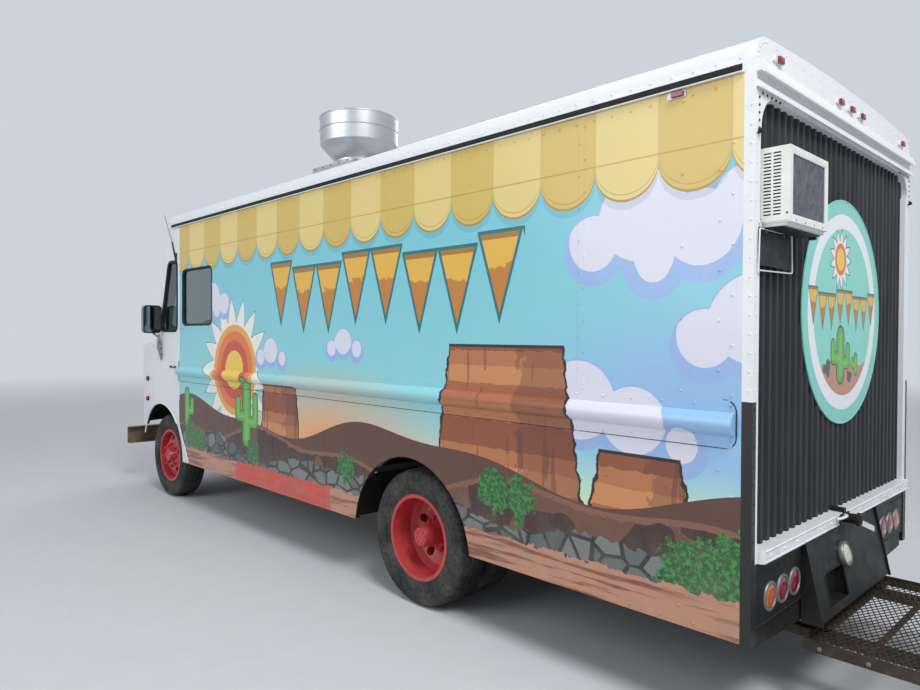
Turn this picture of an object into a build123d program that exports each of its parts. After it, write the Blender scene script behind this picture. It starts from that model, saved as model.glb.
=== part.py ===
from build123d import *
import os
from math import atan2, cos, degrees, hypot, radians, sin, sqrt

os.makedirs("parts", exist_ok=True)

# Food truck on a walk-in van body. Millimetres, +Z up, the nose points to -Y and the left side is +X.
# The origin is on the ground, half way between the bumper and the end of the rear deck.

# Lengths along the truck
wheelbase = 3988
bumper_reach = 992          # front axle to the bumper's face
rear_overhang = 2082        # rear axle to the body's rear face
deck_length = 938           # rear face to the end of the deck
overall_length = bumper_reach + wheelbase + rear_overhang + deck_length
bumper_y = -overall_length / 2
front_axle_y = bumper_y + bumper_reach
rear_axle_y = front_axle_y + wheelbase
rear_y = rear_axle_y + rear_overhang
deck_end_y = rear_y + deck_length

# Body section
body_width = 2170
half_width = body_width / 2
skirt_z = 430               # lower edge of the side sheets
sill_z = 735                # underside of the floor
floor_z = 810               # top of the floor
gutter_z = 2705             # top of the side walls, where the roof sits
gutter_height = 36
gutter_depth = 14
roof_edge_z = 2855          # where the roof's edge curve ends
roof_edge_radius = 100
roof_crown = 30             # rise of the roof to its middle
wall = 40                   # side wall with its lining
skirt_wall = 14             # single sheet with its flange below the floor
roof_wall = 34
seat_gap = 0.3              # clearance of pieces that rest on each other
door_gap = 6                # gap round doors and lids

# Rub rail along the sides
rail_low_z = 1256
rail_high_z = 1353
rail_depth = 42
rail_edge = 4               # thickness of the bead at its two edges
rail_flange = 48
rail_flange_thick = 3

# Cab
cab_wall = 30
wall_front_y = front_axle_y + 448        # joint between the cab and the side walls
nose_reach = 830                         # front axle to the nose's face
nose_y = front_axle_y - nose_reach
nose_bottom_z = 700
nose_top_z = 1535
nose_corner_radius = 330
nose_taper = 22                          # inward lean of the nose's sides
nose_roll_radius = 190                   # curve between the face and the hood
screen_base_y = front_axle_y - 270
screen_base_z = 1575
screen_top_y = front_axle_y + 84
pillar_radius = 120
arch_radius = 542                        # front wheel arch

# Wheels
tyre_radius = 416.5
tyre_width = 224
tread_width = 172
bead_radius = 250
bead_width = 170
wheel_z = tyre_radius
rear_outer_x = half_width - 30 - tyre_width / 2
twin_spacing = 262
rear_inner_x = rear_outer_x - twin_spacing
front_wheel_x = half_width - 73 - tyre_width / 2
kingpin_offset = 158                     # from the front tyre's middle in to the king pin
kingpin_x = front_wheel_x - kingpin_offset
spindle_radius = 30
rear_spindle_radius = 45
bearing_gap = 0.05

# Chassis
rail_outer_x = 432
rail_web = 8
frame_flange = 70
frame_bottom_z = 565
frame_top_z = sill_z
frame_front_y = nose_y + 90
frame_rear_y = rear_y - 90


def across(y):
    """Cross-section plane at y: local x is X, local y is Z, extrudes towards the nose."""
    return Plane(origin=(0, y, 0), x_dir=(1, 0, 0), z_dir=(0, -1, 0))


def along(x):
    """Lengthwise plane at x: local x is Y, local y is Z, extrudes towards +X."""
    return Plane(origin=(x, 0, 0), x_dir=(0, 1, 0), z_dir=(1, 0, 0))


def level(z):
    """Plan plane at height z, extrudes upwards."""
    return Plane.XY.offset(z)


def block(x, y, z, mode=Mode.ADD):
    """A box between the two limits given for each axis."""
    with Locations(((x[0] + x[1]) / 2, (y[0] + y[1]) / 2, (z[0] + z[1]) / 2)):
        Box(abs(x[1] - x[0]), abs(y[1] - y[0]), abs(z[1] - z[0]), mode=mode)


def rod(start, end, radius, mode=Mode.ADD):
    """A round bar between two points."""
    a = Vector(*start)
    b = Vector(*end)
    with BuildSketch(Plane(origin=a, z_dir=b - a)) as ring:
        Circle(radius)
    extrude(ring.sketch, amount=(b - a).length, mode=mode)


def save(piece, name):
    piece.label = name
    export_step(piece, f"parts/{name}.step")


# Chassis frame: two channels, cross members, spring hangers and drop members for the engine
engine_y = (front_axle_y - 590, front_axle_y + 290)
engine_z = (480, 1150)
engine_half_width = 290
spring_eye_z = 520
spring_pin_radius = 14
front_spring_x = rail_outer_x - 36
rear_spring_x = rail_outer_x + 62
front_spring_reach = 560
rear_spring_reach = 620

with BuildPart() as chassis_frame:
    with BuildSketch(across(frame_rear_y)):
        with BuildLine():
            Polyline(
                (rail_outer_x - frame_flange, frame_bottom_z),
                (rail_outer_x, frame_bottom_z),
                (rail_outer_x, frame_top_z),
                (rail_outer_x - frame_flange, frame_top_z),
                (rail_outer_x - frame_flange, frame_top_z - rail_web),
                (rail_outer_x - rail_web, frame_top_z - rail_web),
                (rail_outer_x - rail_web, frame_bottom_z + rail_web),
                (rail_outer_x - frame_flange, frame_bottom_z + rail_web),
                close=True,
            )
        make_face()
        mirror(about=Plane.YZ)
    extrude(amount=frame_rear_y - frame_front_y)
    # Cross members between the webs
    inner_x = rail_outer_x - rail_web
    cross_size = 60
    for y in (frame_front_y + 60, engine_y[1] + 500, rear_axle_y - 900, rear_axle_y - 160,
              rear_axle_y + 700, frame_rear_y - 60):
        block((-inner_x, inner_x), (y - cross_size / 2, y + cross_size / 2),
              (frame_bottom_z + 50, frame_top_z - 50))
    # Drop members that carry the engine
    drop_thick = 30
    drop_x = rail_outer_x - frame_flange - 7
    for y in (engine_y[0] + 130, engine_y[1] - 90):
        block((-drop_x, drop_x), (y - 40, y + 40),
              (engine_z[0] - seat_gap - drop_thick, engine_z[0] - seat_gap))
        for side in (-1, 1):
            block((side * (drop_x - drop_thick), side * drop_x), (y - 40, y + 40),
                  (engine_z[0] - seat_gap - drop_thick, frame_bottom_z + rail_web + drop_thick))
            block((side * (drop_x - drop_thick), side * inner_x), (y - 40, y + 40),
                  (frame_bottom_z + rail_web, frame_bottom_z + rail_web + drop_thick))
    # Spring hangers: spring x, axle y, reach of each spring half
    hangers = (
        (front_spring_x, front_axle_y, front_spring_reach),
        (rear_spring_x, rear_axle_y, rear_spring_reach),
    )
    for spring_x, axle_y, reach in hangers:
        for end in (-1, 1):
            for side in (-1, 1):
                for cheek in (-1, 1):
                    x_in = spring_x + cheek * 40
                    x_out = spring_x + cheek * 50
                    block((side * x_in, side * x_out),
                          (axle_y + end * reach - 32, axle_y + end * reach + 32),
                          (spring_eye_z - 30, frame_bottom_z + 30))
                if spring_x > rail_outer_x:
                    block((side * (rail_outer_x - 4), side * (spring_x + 50)),
                          (axle_y + end * reach - 32, axle_y + end * reach + 32),
                          (frame_bottom_z, frame_bottom_z + 30))
                else:
                    block((side * (spring_x - 50), side * (spring_x + 50)),
                          (axle_y + end * reach - 32, axle_y + end * reach + 32),
                          (frame_bottom_z, frame_bottom_z + 20))
                rod((side * (spring_x - 50), axle_y + end * reach, spring_eye_z),
                    (side * (spring_x + 50), axle_y + end * reach, spring_eye_z), spring_pin_radius)

save(chassis_frame.part, "chassis_frame")

# Engine: one plain block
with BuildPart() as engine_block:
    block((-engine_half_width, engine_half_width), engine_y, engine_z)
save(engine_block.part, "engine_block")

# Radiator behind the grille
radiator_y = frame_front_y + 80
with BuildPart() as radiator:
    block((-300, 300), (radiator_y - 50, radiator_y), (frame_top_z - 50 + seat_gap, 1180))
save(radiator.part, "radiator")

# Front axle: a dropped I-beam with an eye at each end
beam_z = 372
eye_height = 84
eye_radius = 40
kingpin_radius = 18
with BuildPart() as front_axle:
    with BuildSketch(across(front_axle_y + 36)):
        with BuildLine():
            Polyline(
                (0, beam_z - 40), (front_spring_x + 70, beam_z - 40),
                (kingpin_x - 20, wheel_z - 30), (kingpin_x - 20, wheel_z + 30),
                (front_spring_x + 110, beam_z + 40), (0, beam_z + 40), close=True,
            )
        make_face()
        mirror(about=Plane.YZ)
    extrude(amount=72)
    for side in (-1, 1):
        for face in (-1, 1):
            with Locations((side * 250, front_axle_y + face * 30, beam_z)):
                Box(620, 34, 44, mode=Mode.SUBTRACT)
        rod((side * kingpin_x, front_axle_y, wheel_z - eye_height / 2),
            (side * kingpin_x, front_axle_y, wheel_z + eye_height / 2), eye_radius)
        rod((side * kingpin_x, front_axle_y, wheel_z - eye_height),
            (side * kingpin_x, front_axle_y, wheel_z + eye_height), kingpin_radius + bearing_gap,
            mode=Mode.SUBTRACT)
save(front_axle.part, "front_axle")

# Rear axle: tubes, banjo housing and spring pads
banjo_radius = 175
axle_tube_radius = 55
drum_inner_x = rear_inner_x - 26
with BuildPart() as rear_axle:
    rod((-drum_inner_x, rear_axle_y, wheel_z), (drum_inner_x, rear_axle_y, wheel_z), axle_tube_radius)
    rod((-rear_outer_x - 4, rear_axle_y, wheel_z), (rear_outer_x + 4, rear_axle_y, wheel_z),
        rear_spindle_radius)
    with BuildSketch(across(rear_axle_y)):
        with Locations((0, wheel_z)):
            Circle(banjo_radius)
    extrude(amount=90, both=True, taper=30)
    rod((0, rear_axle_y, wheel_z), (0, rear_axle_y - 300, wheel_z), 60)
    for side in (-1, 1):
        block((side * (rear_spring_x - 40), side * (rear_spring_x + 40)),
              (rear_axle_y - 70, rear_axle_y + 70), (wheel_z - 40, wheel_z + 62))
save(rear_axle.part, "rear_axle")

# Leaf springs: leaves are concentric bands, one shorter than the last
leaf_thick = 11
leaf_width = 70
front_pad_z = beam_z + 40
rear_pad_z = wheel_z + 62
spring_table = (
    # spring x, axle y, half length, z of the lowest leaf's underside at the axle, share of each leaf
    (front_spring_x, front_axle_y, front_spring_reach, front_pad_z + seat_gap, (0.42, 0.7, 1.0)),
    (rear_spring_x, rear_axle_y, rear_spring_reach, rear_pad_z + seat_gap, (0.4, 0.7, 1.0)),
)
with BuildPart() as leaf_springs:
    for spring_x, axle_y, reach, pad_z, shares in spring_table:
        top_z = pad_z + leaf_thick * len(shares)
        rise = spring_eye_z - top_z
        bend = (reach ** 2 + rise ** 2) / (2 * abs(rise)) if abs(rise) > 1 else 1e6
        for side in (-1, 1):
            for i, share in enumerate(shares):
                low = pad_z + leaf_thick * i
                half = reach * share
                lift = (bend - sqrt(bend ** 2 - half ** 2)) * (1 if rise > 0 else -1)
                with BuildSketch(along(side * spring_x - leaf_width / 2)):
                    with BuildLine():
                        ThreePointArc((axle_y - half, low + lift), (axle_y, low), (axle_y + half, low + lift))
                        Line((axle_y + half, low + lift), (axle_y + half, low + lift + leaf_thick))
                        ThreePointArc((axle_y + half, low + lift + leaf_thick), (axle_y, low + leaf_thick),
                                      (axle_y - half, low + lift + leaf_thick))
                        Line((axle_y - half, low + lift + leaf_thick), (axle_y - half, low + lift))
                    make_face()
                extrude(amount=leaf_width)
            for end in (-1, 1):
                rod((side * spring_x - leaf_width / 2, axle_y + end * reach, spring_eye_z),
                    (side * spring_x + leaf_width / 2, axle_y + end * reach, spring_eye_z), 26)
                rod((side * spring_x - leaf_width, axle_y + end * reach, spring_eye_z),
                    (side * spring_x + leaf_width, axle_y + end * reach, spring_eye_z),
                    spring_pin_radius + seat_gap, mode=Mode.SUBTRACT)
            for step in (-1, 1):
                block((side * spring_x - 45, side * spring_x + 45),
                      (axle_y + step * 45 - 8, axle_y + step * 45 + 8), (pad_z, top_z + 14))
save(leaf_springs.part, "leaf_springs")

# Drive shaft from the engine to the rear axle
shaft_front_z = engine_z[0] + 60
with BuildPart() as drive_shaft:
    rod((0, engine_y[1] + seat_gap, shaft_front_z), (0, engine_y[1] + 60, shaft_front_z), 55)
    rod((0, engine_y[1] + 55, shaft_front_z), (0, rear_axle_y - 350, wheel_z), 40)
    rod((0, rear_axle_y - 360, wheel_z), (0, rear_axle_y - 300 - seat_gap, wheel_z), 55)
save(drive_shaft.part, "drive_shaft")

# Fuel tank on the left rail
tank_start_y = front_axle_y + 1300
tank_length = 850
tank_inset = 223                         # from the body's side in to the tank
tank_y = (tank_start_y, tank_start_y + tank_length)
tank_x = (rail_outer_x + seat_gap, half_width - tank_inset)
with BuildPart() as fuel_tank:
    block(tank_x, tank_y, (455, 715))
    fillet(fuel_tank.edges().filter_by(Axis.Y), 50)
    for y in (tank_y[0] + 150, tank_y[1] - 150):
        block((tank_x[0], tank_x[1] + 6), (y - 22, y + 22), (449, 721))
save(fuel_tank.part, "fuel_tank")

# Exhaust: down pipe, muffler and tail pipe to the right side
pipe_radius = 30
pipe_z = 520
exhaust_x = -(rail_outer_x + 120)
muffler_y = (front_axle_y + 1350, front_axle_y + 2000)
muffler_radius = 90
tail_z = skirt_z - pipe_radius - 10
with BuildPart() as exhaust_pipe:
    with BuildLine() as route:
        FilletPolyline(
            (-230, engine_y[1] + seat_gap, pipe_z),
            (-230, engine_y[1] + 650, pipe_z),
            (exhaust_x, muffler_y[0] - 140, pipe_z),
            (exhaust_x, muffler_y[0] + 20, pipe_z),
            radius=100,
        )
    with BuildSketch(Plane(origin=route.wires()[0] @ 0, z_dir=route.wires()[0] % 0)):
        Circle(pipe_radius)
    sweep(path=route.wires()[0])
    rod((exhaust_x, muffler_y[0], pipe_z), (exhaust_x, muffler_y[1], pipe_z), muffler_radius)
    with BuildLine() as tail:
        FilletPolyline(
            (exhaust_x, muffler_y[1] - 20, pipe_z),
            (exhaust_x, rear_axle_y - 1180, pipe_z),
            (exhaust_x - 340, rear_axle_y - 930, tail_z),
            (-half_width - 20, rear_axle_y - 930, tail_z),
            radius=80,
        )
    with BuildSketch(Plane(origin=tail.wires()[0] @ 0, z_dir=tail.wires()[0] % 0)):
        Circle(pipe_radius)
    sweep(path=tail.wires()[0])
    for y in (muffler_y[0] + 100, muffler_y[1] - 100):
        block((exhaust_x - 8, -rail_outer_x - seat_gap), (y - 15, y + 15),
              (frame_bottom_z + 60, frame_bottom_z + 72))
        block((exhaust_x - 8, exhaust_x + 8), (y - 15, y + 15), (pipe_z + 60, frame_bottom_z + 72))
save(exhaust_pipe.part, "exhaust_pipe")

# Floor: plate on cross sills, rear wheel boxes and the raised deck over the front wheels
corner_depth = 45                        # width of the rear corner mouldings, seen from the side
frame_lip = 32                           # depth of the rear frame's return in front of the mouldings
floor_rear_y = rear_y - corner_depth - frame_lip
wall_rear_y = rear_y - corner_depth
wall_inner_x = half_width - wall
well_y = (rear_axle_y - 610, rear_axle_y + 610)
well_inner_x = rear_inner_x - tyre_width / 2 - 45
well_top_z = 965
well_wall = 5
wheelhouse_y = front_axle_y + 575
wheelhouse_z = 965
firewall_y = front_axle_y - 320
floor_plate = 34
floor_edge = wall_inner_x - seat_gap
cover_half_width = 385
cover_top_z = 1210
stair_y = (front_axle_y + 640, front_axle_y + 1300)
with BuildPart() as body_floor:
    block((-floor_edge, floor_edge), (wheelhouse_y, floor_rear_y), (floor_z - floor_plate, floor_z))
    # Cross sills between the plate and the chassis rails
    sill_count = 9
    for i in range(sill_count):
        y = wheelhouse_y + 90 + i * (floor_rear_y - wheelhouse_y - 180) / (sill_count - 1)
        block((-floor_edge, floor_edge), (y - 25, y + 25), (sill_z + seat_gap, floor_z - floor_plate))
    # Rear wheel boxes
    for side in (-1, 1):
        block((side * (well_inner_x - well_wall), side * floor_edge),
              (well_y[0] - well_wall, well_y[1] + well_wall),
              (floor_z, well_top_z + well_wall))
        block((side * well_inner_x, side * (floor_edge + 1)), well_y, (sill_z - 1, well_top_z),
              mode=Mode.SUBTRACT)
    # Raised deck and its riser over the front wheels
    block((-floor_edge, floor_edge), (wheelhouse_y - 5, wheelhouse_y), (sill_z, wheelhouse_z))
    block((-floor_edge, floor_edge), (firewall_y, wheelhouse_y), (wheelhouse_z - 5, wheelhouse_z))
    block((-cover_half_width + 30, cover_half_width - 30), (firewall_y, wheelhouse_y + 1),
          (sill_z - 1, wheelhouse_z + 1), mode=Mode.SUBTRACT)
    # Stair well inside the entry door
    block((-floor_edge - 1, -floor_edge + 330), stair_y, (sill_z - 1, floor_z + 1), mode=Mode.SUBTRACT)
    block((-floor_edge, -floor_edge + 335), (stair_y[0], stair_y[1]), (520, 528))
    block((-floor_edge + 330, -floor_edge + 335), stair_y, (520, floor_z))
    for y in (stair_y[0], stair_y[1] - 5):
        block((-floor_edge, -floor_edge + 335), (y, y + 5), (520, floor_z))
save(body_floor.part, "body_floor")

# Side walls: one section carried along the body, then the openings
arch_y = rear_axle_y - 45
arch_z = 360
rear_arch_radius = 550
front_curve = ((0, 1018), (12, 776), (132, 594), (226, skirt_z))   # y from the wall's front edge, z
driver_window_y = (wall_front_y + 91, wall_front_y + 740)
driver_window_z = (1748, 2280)
window_radius = 60
rail_end_y = rear_y - 70
entry_y = (front_axle_y + 655, front_axle_y + 1285)
entry_z = (skirt_z, 2440)
serving_start_y = front_axle_y + 2320
serving_length = 1600
serving_y = (serving_start_y, serving_start_y + serving_length)
serving_z = (1580, 2480)

hatch_lap = 25
hatch_thick = 30
hatch_x = -(half_width + rail_flange_thick + 2)
hatch_top_z = serving_z[1] + hatch_lap
shelf_depth = 330
shelf_thick = 24
shelf_x = -(half_width + rail_depth + 8)
hinge_pin_radius = 6
hinge_length = 90
hinge_barrel = 11
hinge_ys = tuple(serving_y[0] + (serving_y[1] - serving_y[0]) * share for share in (0.12, 0.5, 0.88))
hatch_pin_x = hatch_x - hatch_thick / 2
hatch_pin_z = hatch_top_z + 16
shelf_pin_x = shelf_x - shelf_thick / 2
shelf_pin_z = serving_z[0] - hatch_lap - 24
door_travel = entry_y[1] - entry_y[0]
door_thick = 30
door_lap = 20
door_x = (-(wall_inner_x - door_gap), -(wall_inner_x - door_gap - door_thick))
track_z = entry_z[1] + door_lap + 16


def wall_blank(side, length_y):
    """One side wall as a carried section: skirt, lined wall and rub rail."""
    with BuildPart() as blank:
        with BuildSketch(across(length_y[1])):
            with BuildLine():
                Polyline(
                    (side * half_width, skirt_z), (side * half_width, gutter_z),
                    (side * wall_inner_x, gutter_z), (side * wall_inner_x, sill_z),
                    (side * (half_width - skirt_wall), sill_z - 30),
                    (side * (half_width - skirt_wall), skirt_z + 12),
                    (side * (half_width - 40), skirt_z + 12), (side * (half_width - 40), skirt_z),
                    close=True,
                )
            make_face()
        extrude(amount=length_y[1] - length_y[0])
        with BuildSketch(across(rail_end_y)):
            rail_mid = (rail_low_z + rail_high_z) / 2
            root_x = side * (half_width - 1)
            edge_x = side * (half_width + rail_edge)
            with BuildLine():
                Polyline((edge_x, rail_low_z), (root_x, rail_low_z), (root_x, rail_high_z),
                         (edge_x, rail_high_z))
                ThreePointArc((edge_x, rail_high_z), (side * (half_width + rail_depth), rail_mid),
                              (edge_x, rail_low_z))
            make_face()
        extrude(amount=rail_end_y - length_y[0])
        for z in (rail_high_z, rail_low_z - rail_flange):
            block((side * (half_width - 1), side * (half_width + rail_flange_thick)),
                  (length_y[0], rail_end_y - 20), (z, z + rail_flange))
        # Rear wheel arch
        with BuildSketch(along(0)):
            with Locations((arch_y, arch_z)):
                Circle(rear_arch_radius)
        extrude(amount=side * (half_width + 100), mode=Mode.SUBTRACT)
        # Lower front corner, cut to the front arch's trim
        with BuildSketch(along(0)):
            with BuildLine():
                outline = [(wall_front_y + y, z) for y, z in front_curve]
                Polyline(*outline, (wall_front_y + 226, 300), (wall_front_y - 60, 300),
                         (wall_front_y - 60, 1018), close=True)
            make_face()
        extrude(amount=side * (half_width + 100), mode=Mode.SUBTRACT)
    return blank.part


wall_span = (wall_front_y, wall_rear_y)
with BuildPart() as left_wall:
    add(wall_blank(1, wall_span))
    with BuildSketch(along(0)):
        with Locations((sum(driver_window_y) / 2, sum(driver_window_z) / 2)):
            RectangleRounded(driver_window_y[1] - driver_window_y[0],
                             driver_window_z[1] - driver_window_z[0], window_radius)
    extrude(amount=half_width + 50, mode=Mode.SUBTRACT)
save(left_wall.part, "left_wall")

with BuildPart() as right_wall:
    add(wall_blank(-1, wall_span))
    block((-half_width - 100, 0), entry_y, (entry_z[0] - 10, entry_z[1]), mode=Mode.SUBTRACT)
    block((-half_width - 100, 0), serving_y, serving_z, mode=Mode.SUBTRACT)
    # Hinge ears and pins of the hatch and the shelf: x of the pin, z of the pin
    for pin_x, pin_z in ((hatch_pin_x, hatch_pin_z), (shelf_pin_x, shelf_pin_z)):
        for y in hinge_ys:
            for end in (-1, 1):
                ear_y = y + end * (hinge_length / 2 + 8)
                block((-half_width, pin_x - 8), (ear_y - 6, ear_y + 6), (pin_z - 11, pin_z + 11))
            rod((pin_x, y - hinge_length / 2 - 8, pin_z), (pin_x, y + hinge_length / 2 + 8, pin_z),
                hinge_pin_radius)
    # Track that carries the entry door
    block((-wall_inner_x, -wall_inner_x + 25), (entry_y[0] - 20, entry_y[1] + door_travel + 30),
          (track_z, track_z + 6))
save(right_wall.part, "right_wall")


# Roof section and roof
def roof_section(inset, low_z):
    """Roof outline in the cross-section plane, drawn inset from the outer skin."""
    side_x = half_width - inset
    radius = roof_edge_radius - min(inset, roof_edge_radius - 20)
    top_z = roof_edge_z - inset
    with BuildSketch(across(0)) as section:
        with BuildLine():
            Line((-side_x, low_z), (side_x, low_z))
            Line((side_x, low_z), (side_x, top_z - radius))
            RadiusArc((side_x, top_z - radius), (side_x - radius, top_z), -radius)
            ThreePointArc((side_x - radius, top_z), (0, top_z + roof_crown), (-side_x + radius, top_z))
            RadiusArc((-side_x + radius, top_z), (-side_x, top_z - radius), -radius)
            Line((-side_x, top_z - radius), (-side_x, low_z))
        make_face()
    return section.sketch


roof_front_y = screen_top_y
roof_length = wall_rear_y - roof_front_y
roof_lead = 160                          # length of the rounded leading edge
with BuildPart() as roof:
    extrude(roof_section(0, gutter_z).moved(Location((0, wall_rear_y, 0))), amount=roof_length)
    # Rounded corners in plan
    with BuildSketch(level(gutter_z - 10)):
        with Locations((0, (roof_front_y + wall_rear_y) / 2 + 50)):
            roof_plan = Rectangle(body_width + 20, roof_length + 100)
        fillet(roof_plan.vertices().group_by(Axis.Y)[0], 150)
    extrude(amount=400, mode=Mode.INTERSECT)
    # Rounded leading edge
    roof_top_z = roof_edge_z + roof_crown
    with BuildSketch(along(-half_width - 10)):
        with BuildLine():
            Polyline((roof_front_y, gutter_z), (wall_rear_y + 10, gutter_z),
                     (wall_rear_y + 10, roof_top_z + 10), (roof_front_y + roof_lead, roof_top_z + 10),
                     (roof_front_y + roof_lead, roof_top_z))
            ThreePointArc((roof_front_y + roof_lead, roof_top_z), (roof_front_y + 55, roof_top_z - 40),
                          (roof_front_y, roof_top_z - 130))
            Line((roof_front_y, roof_top_z - 130), (roof_front_y, gutter_z))
        make_face()
    extrude(amount=body_width + 20, mode=Mode.INTERSECT)
    inner_front_y = roof_front_y + 60
    extrude(roof_section(roof_wall, gutter_z - 5).moved(Location((0, wall_rear_y + 1, 0))),
            amount=wall_rear_y + 1 - inner_front_y, mode=Mode.SUBTRACT)
    for side in (-1, 1):
        block((side * (half_width - 1), side * (half_width + gutter_depth)),
              (roof_front_y + roof_lead + 40, wall_rear_y), (gutter_z, gutter_z + gutter_height))
save(roof.part, "roof")

# Rear frame: corner mouldings, header, sill and the two channels over the opening
opening_inset = 50                       # from the body's side to the opening
opening_half_width = half_width - opening_inset
opening_top_z = 2622
opening_radius = 140
sill_top_z = 808
sill_low_z = 752
sill_proud = 28
panel_crest_y = rear_y - 25              # outermost face of the corrugated panel
post_width = 43
post_top_z = opening_top_z - 132
channel_table = (
    # lower z, upper z, depth
    (opening_top_z + 68, opening_top_z + 123, 34),
    (opening_top_z + 8, opening_top_z + 42, 22),
)
with BuildPart() as rear_frame:
    outer = roof_section(0, skirt_z)
    extrude(outer.moved(Location((0, rear_y, 0))), amount=corner_depth)
    inner = roof_section(wall + 1, sill_low_z)
    extrude(inner.moved(Location((0, rear_y, 0))), amount=corner_depth + frame_lip)
    with BuildSketch(across(rear_y + 10)):
        with Locations((0, (sill_top_z + opening_top_z) / 2)):
            opening = Rectangle(2 * opening_half_width, opening_top_z - sill_top_z)
        fillet(opening.vertices().group_by(Axis.Y)[-1], opening_radius)
    extrude(amount=corner_depth + frame_lip + 20, mode=Mode.SUBTRACT)
    block((-opening_half_width, opening_half_width), (rear_y + 10, rear_y - 200), (skirt_z - 10, sill_low_z),
          mode=Mode.SUBTRACT)
    # Sill ledge with rounded ends
    with BuildSketch(level(sill_low_z)):
        with Locations((0, rear_y + sill_proud / 2 - 5)):
            sill_plan = Rectangle(2 * opening_half_width - 10, sill_proud + 10)
        fillet(sill_plan.vertices().group_by(Axis.Y)[-1], 25)
    extrude(amount=sill_top_z - sill_low_z)
    # Door post along the opening's right edge
    block((-opening_half_width - 1, -opening_half_width + post_width),
          (panel_crest_y + seat_gap, rear_y + 2), (sill_top_z - 1, post_top_z))
    # Header channels
    for low, high, depth in channel_table:
        with BuildSketch(along(-half_width + 6)):
            with BuildLine():
                Polyline((rear_y - 2, high), (rear_y + depth * 0.45, high), (rear_y + depth, low + 9),
                         (rear_y + depth, low), (rear_y + depth - 6, low), (rear_y + depth - 12, low + 9),
                         (rear_y - 2, low + 9), close=True)
            make_face()
        extrude(amount=body_width - 12)
save(rear_frame.part, "rear_frame")

# Corrugated rear panel
rib_pitch = 69
rib_depth = 22
panel_back_y = rear_y - corner_depth - frame_lip
rib_count = int(2 * opening_half_width // rib_pitch)
with BuildPart() as rear_panel:
    with BuildSketch(level(sill_top_z + seat_gap)):
        with BuildLine():
            start_x = -rib_count * rib_pitch / 2
            valley_y = panel_crest_y - rib_depth
            outline = [(-opening_half_width, panel_back_y), (-opening_half_width, valley_y)]
            for i in range(rib_count):
                x = start_x + i * rib_pitch
                outline += [(x + 10, valley_y), (x + 22, panel_crest_y)]
                outline += [(x + 47, panel_crest_y), (x + 59, valley_y)]
            outline += [(opening_half_width, valley_y), (opening_half_width, panel_back_y)]
            Polyline(*outline, close=True)
        make_face()
    extrude(amount=opening_top_z - sill_top_z - seat_gap)
    with BuildSketch(across(rear_y + 10)) as keep:
        with Locations((0, (sill_top_z + opening_top_z) / 2)):
            opening = Rectangle(2 * opening_half_width, opening_top_z - sill_top_z)
        fillet(opening.vertices().group_by(Axis.Y)[-1], opening_radius)
    extrude(amount=corner_depth + frame_lip + 20, mode=Mode.INTERSECT)
save(rear_panel.part, "rear_panel")

# Lower rear panel with the lamp holes and the curved valance
panel_seam_z = 494
valance_low_z = 385
lamp_radius = 50
lamp_flange = 13                         # width of the rim round each lamp's hole
lamp_table = (190, 318, 446)             # lamp centres, from the body's side
lamp_z = 588
lower_face_y = rear_y - 4
with BuildPart() as lower_rear_panel:
    block((-opening_half_width, opening_half_width), (lower_face_y - 14, lower_face_y),
          (panel_seam_z, sill_low_z - seat_gap))
    with BuildSketch(across(lower_face_y - 8)):
        with BuildLine():
            Line((-opening_half_width, panel_seam_z), (opening_half_width, panel_seam_z))
            Line((opening_half_width, panel_seam_z), (opening_half_width - 30, valance_low_z + 22))
            ThreePointArc((opening_half_width - 30, valance_low_z + 22), (0, valance_low_z - 4),
                          (-opening_half_width + 30, valance_low_z + 22))
            Line((-opening_half_width + 30, valance_low_z + 22), (-opening_half_width, panel_seam_z))
        make_face()
    extrude(amount=8)
    block((-opening_half_width, opening_half_width), (lower_face_y - 16, lower_face_y - 8),
          (panel_seam_z - 4, panel_seam_z + 4))
    for side in (-1, 1):
        for inset in lamp_table:
            x = side * (half_width - inset)
            rod((x, rear_y + 10, lamp_z), (x, rear_y - 60, lamp_z),
                lamp_radius, mode=Mode.SUBTRACT)
save(lower_rear_panel.part, "lower_rear_panel")

# Step box: sloped face with a foot pocket
step_x = (625 - half_width, half_width - 541)     # right and left end
step_top_z = 728
step_low_z = 388
step_proud = 78
step_plate = 8
pocket_x = (step_x[1] - 150, step_x[1] - 400)
pocket_z = (420, 575)
pocket_depth = 60
with BuildPart() as step_box:
    with BuildSketch(along(step_x[0])):
        with BuildLine():
            Polyline((lower_face_y + seat_gap, step_low_z), (rear_y + step_proud, step_low_z),
                     (lower_face_y + 6, step_top_z), (lower_face_y + seat_gap, step_top_z), close=True)
        make_face()
    extrude(amount=step_x[1] - step_x[0])
    block(pocket_x, (rear_y + 6, rear_y + 200), pocket_z, mode=Mode.SUBTRACT)
    # Side plates, a little larger than the box they close
    for x in step_x:
        with BuildSketch(along(x - step_plate / 2)):
            with BuildLine():
                Polyline((lower_face_y + seat_gap, step_low_z - 8),
                         (rear_y + step_proud + 10, step_low_z - 8),
                         (lower_face_y + 16, step_top_z + 6),
                         (lower_face_y + seat_gap, step_top_z + 6), close=True)
            make_face()
        extrude(amount=step_plate)
save(step_box.part, "step_box")

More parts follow.
